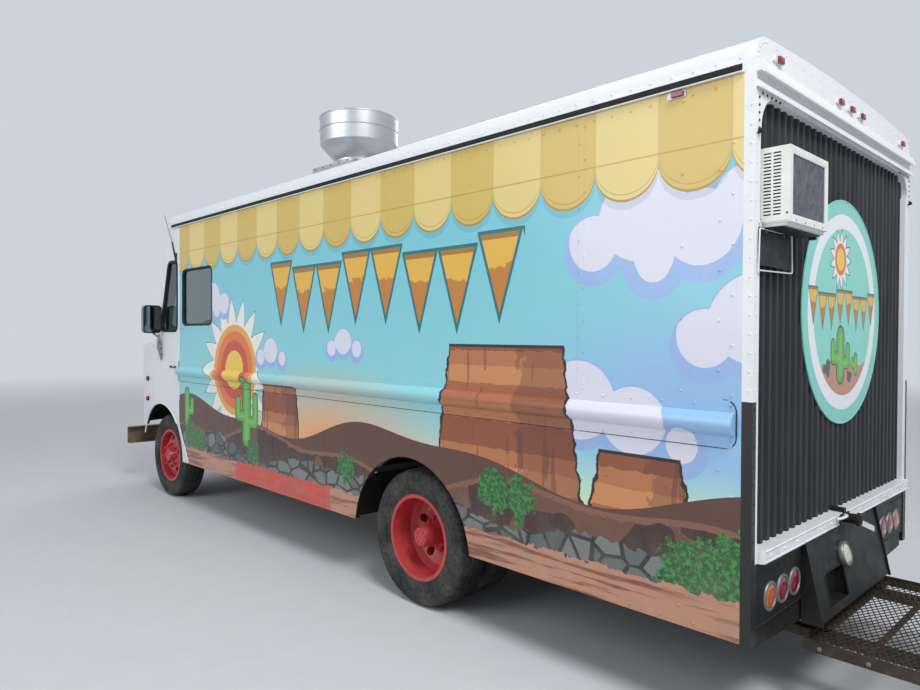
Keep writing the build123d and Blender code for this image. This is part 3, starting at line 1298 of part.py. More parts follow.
def knuckle(side):
    """Kingpin, lugs above and below the axle's eye, upright, spindle and rearward arm."""
    x = side * kingpin_x
    half_eye = eye_height / 2 + knuckle_gap
    with BuildPart() as piece:
        rod((x, front_axle_y, wheel_z - half_eye - lug_height),
            (x, front_axle_y, wheel_z + half_eye + lug_height), kingpin_radius)
        for end in (-1, 1):
            rod((x, front_axle_y, wheel_z + end * half_eye),
                (x, front_axle_y, wheel_z + end * (half_eye + lug_height)), 36)
            block((x, x + side * 70), (front_axle_y - 34, front_axle_y + 34),
                  (wheel_z + end * half_eye, wheel_z + end * (half_eye + lug_height)))
        block((x + side * 46, x + side * 70), (front_axle_y - 34, front_axle_y + 34),
              (wheel_z - half_eye - lug_height, wheel_z + half_eye + lug_height))
        rod((x + side * 60, front_axle_y, wheel_z), (side * (front_wheel_x + 35), front_axle_y, wheel_z),
            spindle_radius)
        block((x - 16, x + 16), (front_axle_y, front_axle_y + arm_length), (arm_z, arm_z + 18))
        rod((x, front_axle_y + arm_length, arm_z), (x, front_axle_y + arm_length, arm_z + 18), 20)
        rod((x, front_axle_y + arm_length, arm_z - 20), (x, front_axle_y + arm_length, arm_z + 30),
            tie_ball_radius + bearing_gap, mode=Mode.SUBTRACT)
    return piece.part


save(knuckle(1), "knuckle_left")
save(knuckle(-1), "knuckle_right")

# Tie rod under the knuckle arms
with BuildPart() as tie_rod:
    tie_y = front_axle_y + arm_length
    rod((-kingpin_x, tie_y, arm_z - 20), (kingpin_x, tie_y, arm_z - 20), 14)
    for side in (-1, 1):
        rod((side * kingpin_x, tie_y, arm_z - 34), (side * kingpin_x, tie_y, arm_z - 1), 20)
        rod((side * kingpin_x, tie_y, arm_z - 2), (side * kingpin_x, tie_y, arm_z + 16), tie_ball_radius)
save(tie_rod.part, "tie_rod")


# Wheels and tyres: profiles turned about the axle line; radius against distance from the tyre's middle
def turned(points, x, y, side):
    """Solid of revolution about the axle: points are (outward distance, radius)."""
    with BuildPart() as piece:
        with BuildSketch(Plane(origin=(x, y, wheel_z), x_dir=(side, 0, 0), z_dir=(0, -side, 0))):
            with BuildLine():
                Polyline(*points, close=True)
            make_face()
        revolve(axis=Axis((x, y, wheel_z), (1, 0, 0)))
    return piece.part


tyre_profile = (
    (-bead_width / 2, bead_radius), (-tyre_width / 2, 335), (-tyre_width / 2 + 8, 398),
    (-tread_width / 2, tyre_radius), (tread_width / 2, tyre_radius), (tyre_width / 2 - 8, 398),
    (tyre_width / 2, 335), (bead_width / 2, bead_radius),
)


def tyre(x, y, side):
    return turned(tyre_profile, x, y, side)


rim_lip = 264
rim_wall = 8
barrel_profile = (
    (-bead_width / 2 - 10, bead_radius - rim_wall), (-bead_width / 2 - 10, rim_lip),
    (-bead_width / 2 - 6, rim_lip), (-bead_width / 2, bead_radius - seat_gap),
    (bead_width / 2, bead_radius - seat_gap), (bead_width / 2 + 6, rim_lip),
    (bead_width / 2 + 10, rim_lip), (bead_width / 2 + 10, bead_radius - rim_wall),
)
hand_hole_count = 5
hand_hole_radius = 30
lug_count = 8
lug_circle = 82


def wheel(x, y, side, disc_profile, hub_profile, pitch_x, extra=()):
    """Barrel, disc with hand holes, hub with lugs, drum."""
    with BuildPart() as piece:
        for barrel_x in (x,) + extra:
            add(turned(barrel_profile, barrel_x, y, side))
        add(turned(disc_profile, x, y, side))
        hole_plane = Plane(origin=(x - side * 320, y, wheel_z), x_dir=(0, 1, 0), z_dir=(side, 0, 0))
        with BuildSketch(hole_plane):
            with PolarLocations(178, hand_hole_count, start_angle=90):
                Circle(hand_hole_radius)
        extrude(amount=640, mode=Mode.SUBTRACT)
        add(turned(hub_profile, x, y, side))
        lug_plane = Plane(origin=(x + side * (pitch_x - 2), y, wheel_z), x_dir=(0, 1, 0), z_dir=(side, 0, 0))
        with BuildSketch(lug_plane):
            with PolarLocations(lug_circle + 28, lug_count):
                RegularPolygon(14, 6)
        extrude(amount=26)
    return piece.part


# Front disc bulges outwards; rear disc is set deep between the twins
front_disc = (
    (20, spindle_radius + 40), (70, spindle_radius + 40), (70, 150), (40, 215), (10, 243), (-10, 243),
    (30, 205), (58, 145), (58, spindle_radius + 60), (20, spindle_radius + 60),
)
front_hub = (
    (-84, spindle_radius + bearing_gap), (50, spindle_radius + bearing_gap), (50, 0.01), (110, 0.01),
    (118, 30), (118, 58), (66, 75), (-50, 75), (-50, 185), (-84, 185),
)
rear_mid = -twin_spacing / 2
rear_disc = (
    (rear_mid - 14, 70), (rear_mid + 14, 70), (rear_mid + 14, 150), (rear_mid + 40, 215),
    (rear_mid + 80, 243), (rear_mid + 50, 243), (rear_mid, 200), (rear_mid - 50, 243),
    (rear_mid - 80, 243), (rear_mid - 40, 215), (rear_mid - 14, 150),
)
rear_hub = (
    (rear_mid - 150, rear_spindle_radius + bearing_gap), (rear_mid + 140, rear_spindle_radius + bearing_gap),
    (rear_mid + 140, 0.01), (rear_mid + 200, 0.01), (rear_mid + 206, 55), (rear_mid + 150, 72),
    (rear_mid - 90, 72), (rear_mid - 90, 185), (rear_mid - 150, 185),
)

for side, word in ((1, "left"), (-1, "right")):
    save(tyre(side * front_wheel_x, front_axle_y, side), f"front_tyre_{word}")
    save(wheel(side * front_wheel_x, front_axle_y, side, front_disc, front_hub, 70), f"front_wheel_{word}")
    with BuildPart() as pair:
        add(tyre(side * rear_outer_x, rear_axle_y, side))
        add(tyre(side * rear_inner_x, rear_axle_y, side))
    save(pair.part, f"rear_tyres_{word}")
    save(wheel(side * rear_outer_x, rear_axle_y, side, rear_disc, rear_hub, rear_mid + 14,
               (side * rear_inner_x,)), f"rear_wheels_{word}")
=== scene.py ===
# Food truck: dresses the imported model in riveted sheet, printed film, rubber, lamps and vinyl.
import math
import bmesh
import bpy
import numpy as np
from mathutils import Matrix, Vector


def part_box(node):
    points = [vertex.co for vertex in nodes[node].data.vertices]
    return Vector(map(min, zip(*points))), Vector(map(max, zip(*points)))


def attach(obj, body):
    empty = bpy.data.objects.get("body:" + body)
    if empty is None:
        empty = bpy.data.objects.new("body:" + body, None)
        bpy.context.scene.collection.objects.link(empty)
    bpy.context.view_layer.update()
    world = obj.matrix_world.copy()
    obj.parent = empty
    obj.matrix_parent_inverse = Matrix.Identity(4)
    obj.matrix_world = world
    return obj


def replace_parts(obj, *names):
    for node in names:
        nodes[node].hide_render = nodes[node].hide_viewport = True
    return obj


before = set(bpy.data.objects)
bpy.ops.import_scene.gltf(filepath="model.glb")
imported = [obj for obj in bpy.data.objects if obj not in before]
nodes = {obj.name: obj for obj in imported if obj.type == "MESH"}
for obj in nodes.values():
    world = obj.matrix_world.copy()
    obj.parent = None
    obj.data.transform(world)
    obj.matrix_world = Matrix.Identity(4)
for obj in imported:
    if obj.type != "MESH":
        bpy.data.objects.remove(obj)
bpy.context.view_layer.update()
chance = np.random.default_rng(11)

# Places of the truck in metres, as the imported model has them: side sheets, rear frame's and lower panel's faces,
# nose, wheel centres and the rear arch's centre
halfWidth, rearY, panelY, noseY = 1.085, 3.062, 3.058, -3.838
frontAxleY, rearAxleY, wheelZ, frontX, rearX = -3.008, 0.980, 0.4165, 0.900, 0.943
archY, archZ = 0.935, 0.36
sides = ((1, "left"), (-1, "right"))
xAxis, yAxis, zAxis = np.eye(3)


def spread(x, y, z):
    # Points from three coordinates, each one number or an array
    return np.stack(np.broadcast_arrays(x, y, z), -1)


def join(*shapes):
    # Several shapes as one: points stacked, each shape's faces moved on by the points before it
    points, faces, count = [], [], 0
    for shapePoints, shapeFaces in shapes:
        points.append(shapePoints)
        faces += [f + count for f in shapeFaces]
        count += len(shapePoints)
    return np.concatenate(points), faces


def grid(points, wrapRows=False, wrapColumns=False, caps=False):
    # Points in rows and columns, one quad for each cell; a wrapped side joins its end to its start
    rows, columns = points.shape[:2]
    i = np.arange(rows if wrapRows else rows - 1)[:, None]
    j = np.arange(columns if wrapColumns else columns - 1)[None, :]
    corner = [a % rows * columns + b % columns for a, b in ((i, j), (i, j + 1), (i + 1, j + 1), (i + 1, j))]
    faces = [np.stack(np.broadcast_arrays(*corner), -1).reshape(-1, 4)]
    if caps:
        first = np.arange(columns)[None, :]
        faces += [first[:, ::-1], first + (rows - 1) * columns]
    return points.reshape(-1, 3).astype(float), faces


def roundedPolygon(corners, radius, steps=5):
    # Each corner becomes a circular arc: a quadratic curve weighted by the cosine of half the turn
    corner = np.asarray(corners, float)
    before = np.roll(corner, 1, 0) - corner
    after = np.roll(corner, -1, 0) - corner
    before /= np.linalg.norm(before, axis=1, keepdims=True)
    after /= np.linalg.norm(after, axis=1, keepdims=True)
    inside = np.arccos(np.clip((before * after).sum(1), -1, 1))[:, None]
    reach = np.asarray(radius, float).reshape(-1, 1) / np.tan(inside / 2)
    weight = np.sin(inside / 2)[:, None]
    t = np.linspace(0, 1, steps)[None, :, None]
    start, end = (corner + before * reach)[:, None], (corner + after * reach)[:, None]
    share = (1 - t) ** 2 + 2 * weight * t * (1 - t) + t ** 2
    return (((1 - t) ** 2 * start + 2 * weight * t * (1 - t) * corner[:, None] + t ** 2 * end) / share).reshape(-1, 2)


def roundedBox(width, height, radius, steps=5):
    # Rectangle about the origin with round corners, counter-clockwise
    w, h = width / 2, height / 2
    return roundedPolygon([(-w, -h), (w, -h), (w, h), (-w, h)], radius, steps)


def carried(profile, path, up, closed=False, wrapProfile=True, caps=True):
    # Profile (across, up) carried along a path: across is the path's direction crossed with up, mitred at turns
    path, profile = np.asarray(path, float), np.asarray(profile, float)
    ahead = np.roll(path, -1, 0) - path
    behind = path - np.roll(path, 1, 0)
    if not closed:
        ahead[-1], behind[0] = behind[-1], ahead[0]
    ahead /= np.linalg.norm(ahead, axis=1, keepdims=True)
    behind /= np.linalg.norm(behind, axis=1, keepdims=True)
    along = ahead + behind
    along /= np.linalg.norm(along, axis=1, keepdims=True)
    mitre = 1 / np.maximum((along * ahead).sum(1, keepdims=True), 0.4)
    across = np.cross(along, np.broadcast_to(np.asarray(up, float), path.shape))
    across /= np.linalg.norm(across, axis=1, keepdims=True)
    rise = np.cross(across, along)
    points = path[:, None] + profile[None, :, :1] * (across * mitre)[:, None] + profile[None, :, 1:] * rise[:, None]
    return grid(points, wrapRows=closed, wrapColumns=wrapProfile, caps=caps and not closed)


def circle(radius, count=12, squash=1.0):
    # Round profile, counter-clockwise
    turn = np.linspace(0, 2 * math.pi, count, endpoint=False)
    return np.stack([np.cos(turn) * radius, np.sin(turn) * radius * squash], -1)


def turned(profile, centre=(0, 0, 0), axis=(0, 0, 1), count=32, closed=False):
    # Profile (radius, distance along the axis) turned once about the axis
    profile, axis = np.asarray(profile, float), np.asarray(axis, float)
    side = np.cross(axis, (0.0, 0.0, 1.0) if abs(axis[2]) < 0.9 else (0.0, 1.0, 0.0))
    side /= np.linalg.norm(side)
    other = np.cross(axis, side)
    turn = np.linspace(0, 2 * math.pi, count, endpoint=False)
    ring = np.cos(turn)[None, :, None] * side + np.sin(turn)[None, :, None] * other
    points = np.asarray(centre) + profile[:, None, :1] * ring + profile[:, None, 1:] * axis
    return grid(points, wrapRows=closed, wrapColumns=True)


def plate(outline, depth, origin, right, up, edge=0.0):
    # Outline (right, up) carried straight out by depth, its rims drawn in by edge so that they catch light
    outline = np.asarray(outline, float)
    before, after = outline - np.roll(outline, 1, 0), np.roll(outline, -1, 0) - outline
    before /= np.linalg.norm(before, axis=1, keepdims=True)
    after /= np.linalg.norm(after, axis=1, keepdims=True)
    normal = np.stack([before[:, 1] + after[:, 1], -before[:, 0] - after[:, 0]], -1)
    normal /= (1 + (before * after).sum(1, keepdims=True)).clip(0.3)
    right, up = np.asarray(right, float), np.asarray(up, float)
    out = np.cross(right, up)
    levels = ((0, edge), (edge, 0), (depth - edge, 0), (depth, edge)) if edge else ((0, 0), (depth, 0))
    rings = [np.asarray(origin) + (outline - normal * inset) @ np.stack([right, up]) + out * high
             for high, inset in levels]
    return grid(np.stack(rings), wrapColumns=True, caps=True)


def block(low, high, edge=0.0):
    # Straight bar between two corners, with its long rims drawn in
    low, high = np.minimum(low, high), np.maximum(low, high)
    w, h = (high - low)[:2]
    middle = (low + high) / 2
    return plate([(-w / 2, -h / 2), (w / 2, -h / 2), (w / 2, h / 2), (-w / 2, h / 2)], high[2] - low[2],
                 (middle[0], middle[1], low[2]), xAxis, yAxis, edge)


def copies(shape, origins, right, out, size=1.0):
    # One shape set at each origin, its X along right and its Z along out, all in one array
    points, faces = shape
    origins = np.atleast_2d(np.asarray(origins, float))
    right = np.broadcast_to(np.asarray(right, float), origins.shape)
    out = np.broadcast_to(np.asarray(out, float), origins.shape)
    basis = np.stack([right, np.cross(out, right), out], 1)
    moved = origins[:, None] + size * np.einsum("vi,kij->kvj", points, basis)
    shift = np.arange(len(origins))[:, None, None] * len(points)
    return moved.reshape(-1, 3), [(f[None] + shift).reshape(-1, f.shape[1]) for f in faces]


def tube(path, radius, up=(0, 0, 1), count=10, closed=False):
    # Round bar along a path
    return carried(circle(radius, count), path, up, closed)


def bezier(points, steps=16):
    # Smooth path through control points: the general Bernstein sum
    points = np.asarray(points, float)
    n = len(points) - 1
    t = np.linspace(0, 1, steps)[:, None]
    return sum(math.comb(n, k) * t ** k * (1 - t) ** (n - k) * points[k] for k in range(n + 1))


def panel(size, depth, place, right, up, edge):
    # Plate with round corners: size is (width, height, corner radius) and, where it matters, points per corner
    return plate(roundedBox(*size), depth, place, right, up, edge)


def linked(name, data):
    # New object in the scene
    thing = bpy.data.objects.new(name, data)
    bpy.context.scene.collection.objects.link(thing)
    return thing


def makePiece(name, shapes, finish, body="root", sharp=38):
    # Points and faces go into one mesh; doubles merge, faces turn outward, edges over the angle stay sharp
    points, faces = join(*shapes) if isinstance(shapes, list) else shapes
    mesh = bpy.data.meshes.new(name)
    mesh.from_pydata(points.tolist(), [], [f for group in faces for f in group.tolist()])
    work = bmesh.new()
    work.from_mesh(mesh)
    bmesh.ops.remove_doubles(work, verts=work.verts, dist=1e-5)
    bmesh.ops.dissolve_degenerate(work, edges=work.edges, dist=1e-6)
    bmesh.ops.recalc_face_normals(work, faces=work.faces)
    work.to_mesh(mesh)
    work.free()
    mesh.polygons.foreach_set("use_smooth", np.ones(len(mesh.polygons), bool))
    mesh.set_sharp_from_angle(angle=math.radians(sharp))
    piece = linked(name, mesh)
    mesh.materials.append(made[finish])
    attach(piece, body)
    return piece


def hexColour(code):
    # sRGB hex to the linear values that shaders take
    parts = [int(code[k:k + 2], 16) / 255 for k in (1, 3, 5)]
    return tuple(c / 12.92 if c <= 0.04045 else ((c + 0.055) / 1.055) ** 2.4 for c in parts) + (1.0,)


def addNode(tree, kind, inputs=(), out=0, **settings):
    # Adds one node, sets its options, links or sets its inputs and gives back one output
    node = tree.nodes.new("ShaderNode" + kind)
    stops = settings.pop("stops", None)
    for key, value in settings.items():
        setattr(node, key, value)
    if stops:
        ramp = node.color_ramp
        while len(ramp.elements) < len(stops):
            ramp.elements.new(0.5)
        for element, (position, code) in zip(ramp.elements, stops):
            element.position, element.color = position, hexColour(code)
    for key, value in (inputs.items() if isinstance(inputs, dict) else enumerate(inputs)):
        value = getattr(value, "socket", value)
        if isinstance(value, bpy.types.NodeSocket):
            tree.links.new(value, node.inputs[key])
        elif value is not None:
            node.inputs[key].default_value = hexColour(value) if isinstance(value, str) else value
    return node.outputs[out] if len(node.outputs) else node


class Value:
    # Output of a node that plain arithmetic works on: each sign adds the Math node of its name
    def __init__(self, tree, socket):
        self.tree, self.socket = tree, socket

    def maths(self, operation, *others):
        # Math node of that name, with this value first
        return Value(self.tree, addNode(self.tree, "Math", (self, *others), operation=operation))

    def __rsub__(self, number):
        return Value(self.tree, addNode(self.tree, "Math", (number, self), operation="SUBTRACT"))

    def __abs__(self):
        return self.maths("ABSOLUTE")

    def most(self, other):
        # The larger of two
        return self.maths("MAXIMUM", other)

    def least(self, other):
        # The smaller of two
        return self.maths("MINIMUM", other)

    def scaled(self, factor, shift):
        # Value * factor + shift
        return self.maths("MULTIPLY_ADD", factor, shift)


for sign, operation in dict(add="ADD", sub="SUBTRACT", mul="MULTIPLY", truediv="DIVIDE", pow="POWER", mod="MODULO",
                            lt="LESS_THAN", gt="GREATER_THAN").items():
    setattr(Value, "__" + sign + "__", lambda self, other, operation=operation: self.maths(operation, other))


class Shader:
    # One material's nodes, with short names for those that the finishes share; place is the object's own coordinate
    def __init__(self, name):
        self.material = bpy.data.materials.new(name)
        self.material.use_nodes = True
        self.tree = self.material.node_tree
        self.tree.nodes.clear()
        self.place = self.node("TexCoord", out=3)

    def node(self, kind, inputs=(), out=0, **settings):
        return Value(self.tree, addNode(self.tree, kind, inputs, out, **settings))

    def noise(self, where, scale, detail, rough=0.5):
        # Fractal noise: cells for each metre, octaves, and the share that each octave keeps
        return self.node("TexNoise", {"Vector": where, "Scale": scale, "Detail": detail, "Roughness": rough})

    def stretched(self, where, scale):
        # A coordinate times a factor for each axis
        return self.node("Mapping", {0: where, 3: scale})

    def span(self, value, *limits):
        # The value carried from the first two limits to the last two, and held there
        return self.node("MapRange", [value, *limits])

    def axis(self, number):
        # One of the object's own coordinates, in metres
        return self.node("SeparateXYZ", [self.place], number)

    def mix(self, share, under, over):
        # Colour under where share is 0 and over where it is 1
        return self.node("Mix", {0: share, 6: under, 7: over}, 2, data_type="RGBA")

    def finish(self, colour, rough, bump=None, others=None):
        # Closes the tree with its surface; bump is (height, strength, distance in metres)
        inputs = {"Base Color": colour, "Roughness": rough, **(others or {})}
        if bump:
            inputs["Normal"] = self.node("Bump", {"Height": bump[0], "Strength": bump[1], "Distance": bump[2]})
        addNode(self.tree, "OutputMaterial", [self.node("BsdfPrincipled", inputs)])
        return self.material


def coated(spec):
    # A finish drifts between two tones in soft patches, takes dust below a height and in flecks,
    # and carries its grain in gloss and height. Scales come from sizes in metres.
    work = Shader(spec["name"])
    stretch = work.stretched(work.place, spec.get("stretch", (1, 1, 1)))
    tone = work.span(work.noise(stretch, 1 / spec["patch"], 5.0, 0.6), 0.35, 0.68, 0.0, 1.0)
    low = work.span(work.axis(2), spec.get("dustTop", 0.9), 0.25, 0.0, spec.get("dust", 0.0))
    fleck = work.noise(work.place, spec.get("fleckScale", 22.0), 6.0, 0.7)
    dusty = low * work.span(fleck, 0.42, 0.66, 0.25, 1.0)
    # Flecks in the wear colour: wear marks, and on the fin coil white painted glints of light
    wearAndGlintFrom = spec.get("wearAndGlintFrom", 0.9)
    wornAndGlinting = work.span(fleck, wearAndGlintFrom, wearAndGlintFrom + 0.05, 0.0, 1.0)
    colour = work.mix(tone, spec["colour"], spec["shade"])
    colour = work.mix(wornAndGlinting, colour, spec.get("wearAndGlint", spec["shade"]))
    colour = work.mix(dusty, colour, spec.get("dustColour", "#8f8577"))
    rough = work.node("Mix", {0: dusty, 2: work.span(tone, 0.0, 1.0, *spec["rough"]), 3: 0.85})
    grain = work.noise(stretch, 1 / spec["grain"], 3.0)
    return work.finish(colour, rough, (grain, spec.get("bumpShare", 0.35), spec["relief"]), {
        "Metallic": spec.get("metal", 0.0), "Specular IOR Level": spec.get("gloss", 0.5),
        "Coat Weight": spec.get("coat", 0.0), "Coat Roughness": 0.12, "Anisotropic": spec.get("brushed", 0.0)})


# Finishes: the real material, how its surface was made, and what that gives the eye
finishes = dict(
    # sprayed enamel on aluminium sheet: bright white with a soft gloss and faint grey rain marks
    whiteEnamel=dict(name="sprayedWhiteEnamel", colour="#dfe2e4", shade="#dadde0", patch=0.5, rough=(0.3, 0.42),
                     grain=0.02, relief=0.0006, bumpShare=0.15, coat=0.25, dust=0.3, dustTop=1.0,
                     dustColour="#a79e90"),
    # brushed chassis enamel on plate: black with broken gloss, road dust low down, small chips
    blackEnamel=dict(name="brushedBlackEnamel", colour="#131415", shade="#1b1c1d", patch=0.12, rough=(0.36, 0.58),
                     gloss=0.28, grain=0.006, relief=0.0007, dust=0.22, dustTop=0.7, dustColour="#4b463e",
                     wearAndGlint="#3d3a36", wearAndGlintFrom=0.73),
    # rolled paint on corrugated sheet: charcoal, nearly matt, streaked downwards by rain
    panelPaint=dict(name="rolledCharcoalPaint", colour="#343639", shade="#2b2d30", patch=0.09, stretch=(1, 1, 0.12),
                    gloss=0.22, rough=(0.5, 0.68), grain=0.004, relief=0.0005, dust=0.08, dustTop=2.2,
                    dustColour="#4c4c4d"),
    # belt-brushed stainless steel: fine long lines, cool grey
    stainless=dict(name="brushedStainless", colour="#c4c6c8", shade="#b3b5b8", patch=0.2, rough=(0.24, 0.36),
                   grain=0.0015, relief=0.0002, metal=1.0, stretch=(1, 0.05, 1), brushed=0.5),
    # spun aluminium: turned on a former, so fine rings run round it
    spunAluminium=dict(name="spunAluminium", colour="#cfd1d3", shade="#b2b5b9", patch=0.16, rough=(0.26, 0.44),
                       grain=0.004, relief=0.0006, metal=1.0, stretch=(0.15, 0.15, 1), brushed=0.4, bumpShare=0.5),
    # sprayed enamel on pressed steel: strong red, dulled by road dust towards its edges
    wheelEnamel=dict(name="sprayedRedEnamel", colour="#c62f3a", shade="#b0262f", patch=0.1, rough=(0.3, 0.45),
                     grain=0.008, relief=0.0004, coat=0.2, dust=0.4, dustTop=1.2, dustColour="#9b6d62",
                     wearAndGlint="#5a3a34", wearAndGlintFrom=0.74),
    # sand-cast iron and forged steel: dark grey-brown, rough, dusty
    castIron=dict(name="sandCastIron", colour="#262422", shade="#3b3029", patch=0.07, rough=(0.6, 0.8), grain=0.004,
                  gloss=0.3, relief=0.0012, metal=0.3, dust=0.4, dustTop=0.9, dustColour="#574e43"),
    # weathered mild steel: tan rust over grey plate
    rustySteel=dict(name="weatheredSteelPlate", colour="#6f5a47", shade="#8a7358", patch=0.06, rough=(0.6, 0.85),
                    grain=0.004, relief=0.001, metal=0.2, dust=0.3, dustTop=0.9, wearAndGlint="#4a3527", wearAndGlintFrom=0.6),
    # powder paint on stamped steel: mid grey, weathered; the grey is partly the paint's own and partly painted shade
    # on the mirrors
    mirrorPaint=dict(name="powderPaintAndBracketShade", colour="#8d9194", shade="#777b7f", patch=0.08, rough=(0.45, 0.6),
                     grain=0.004, relief=0.0004, dust=0.1, dustTop=2.2),
    # hot-dip galvanised steel: mottled dull grey spangle
    galvanised=dict(name="galvanisedSteel", colour="#8b8d8f", shade="#74777a", patch=0.025, rough=(0.42, 0.6),
                    grain=0.01, relief=0.0004, metal=0.8, dust=0.45, dustTop=0.9),
    # injection-moulded plastic: black with a fine even grain
    blackPlastic=dict(name="mouldedBlackPlastic", colour="#18191a", shade="#1f2022", patch=0.1, rough=(0.5, 0.62),
                      gloss=0.35, grain=0.0015, relief=0.0003, dust=0.1, dustTop=2.0, dustColour="#5f5c57"),
    # extruded rubber: deep black, slightly chalky
    sealRubber=dict(name="extrudedRubber", colour="#121314", shade="#1b1c1e", patch=0.05, rough=(0.55, 0.75),
                    gloss=0.3, grain=0.003, relief=0.0003, dust=0.15, dustTop=2.6, dustColour="#57544f"),
    # baked enamel on folded sheet: warm white, small scuffs
    caseEnamel=dict(name="bakedCaseEnamel", colour="#e6e6e3", shade="#d9d8d2", patch=0.12, rough=(0.38, 0.5),
                    grain=0.004, relief=0.0004, dust=0.1, dustTop=2.6, dustColour="#8d8a83", wearAndGlint="#b9b5aa",
                    wearAndGlintFrom=0.7),
    # aluminium fins of a coil: grey, with white flecks that paint glints of light on bent fins
    finCoil=dict(name="pressedFinCoil", colour="#8a8e97", shade="#70747d", patch=0.03, rough=(0.4, 0.6), grain=0.0035,
                 relief=0.002, metal=0.25, fleckScale=60.0, wearAndGlint="#dfe2e4", wearAndGlintFrom=0.66, bumpShare=0.7),
    # polished stainless: rims and small trim
    brightSteel=dict(name="polishedStainless", colour="#d5d7d9", shade="#c3c5c8", patch=0.05, rough=(0.14, 0.24),
                     grain=0.004, relief=0.0001, metal=1.0),
    # expanded and rolled steel, once painted: brown-black with rust at its edges
    deckSteel=dict(name="paintedExpandedSteel", colour="#25211e", shade="#3a2d24", patch=0.12, rough=(0.5, 0.7),
                   gloss=0.35, grain=0.004, relief=0.0006, metal=0.2, dust=0.2, dustTop=0.6, wearAndGlint="#7a4a2e",
                   wearAndGlintFrom=0.66),
    # sprayed bitumen undercoat: brown-black, matt and lumpy, with dust in the hollows
    # on the splash panels its dark colour also paints the shade inside the rear wheel wells
    undercoat=dict(name="sprayedUndercoatAndWellShade", colour="#171513", shade="#211e1b", patch=0.1, rough=(0.75, 0.9),
                   gloss=0.2, grain=0.006, relief=0.002, dust=0.25, dustTop=0.8, dustColour="#40392f"),
    # vinyl over foam, embossed like hide: soft low gloss
    seatVinyl=dict(name="embossedVinyl", colour="#26262a", shade="#303035", patch=0.15, rough=(0.42, 0.55),
                   grain=0.0035, relief=0.0006, bumpShare=0.6),
    # moulded engine cover, charcoal carpet: matt and woolly
    coverCarpet=dict(name="mouldedCarpet", colour="#3a3836", shade="#2c2b2a", patch=0.03, rough=(0.9, 0.98),
                     grain=0.003, relief=0.002, bumpShare=0.8),
)
made = {key: coated(spec) for key, spec in finishes.items()}
print("finishes made", len(made))


def lens(name, code, deep, clear=0.35):
    # Moulded acrylic: a clear coloured skin over a prism pattern that breaks the light
    work = Shader(name)
    prism = work.node("TexVoronoi", {"Vector": work.place, "Scale": 140.0})
    return work.finish(work.mix(prism, code, deep), 0.14, (prism, 0.35, 0.001),
                       {"IOR": 1.49, "Transmission Weight": clear, "Coat Weight": 0.6})


def glassMaterial():
    # Tempered sheet glass: a grey-green tint of its own, deepened to paint shade over the inside, and a film of dust
    # that scatters a little light
    work = Shader("temperedSheetGlass")
    rough = work.span(work.noise(work.place, 3.0, 6.0), 0.4, 0.7, 0.0, 0.06)
    return work.finish("#a8b6b6", rough, None, {"IOR": 1.45, "Transmission Weight": 1.0})


def rubberMaterial():
    # Moulded tyre rubber: black under grey-brown dust that settles on the sidewall and in the tread
    work = Shader("mouldedTyreRubber")
    fleck, patch = work.noise(work.place, 34.0, 8.0, 0.7), work.noise(work.place, 5.0, 3.0)
    dust = work.span(fleck * patch, 0.16, 0.38, 0.05, 0.62)
    return work.finish(work.mix(dust, "#1d1d1e", "#605d58"), 0.8, (fleck, 0.4, 0.001), {"Specular IOR Level": 0.3})


made["lensRed"] = lens("redAcrylicLens", "#b01f3c", "#7d1230")
made["lensAmber"] = lens("amberAcrylicLens", "#ee7d22", "#c9560f")
made["lensClear"] = lens("clearAcrylicLens", "#efeeda", "#cfd0b4", 0.25)
made["glass"] = glassMaterial()
made["tyre"] = rubberMaterial()
# Silvered glass: a bright mirror, slightly grey
made["mirror"] = Shader("silveredMirrorGlass").finish("#8f979b", 0.05, None, {"Metallic": 1.0})

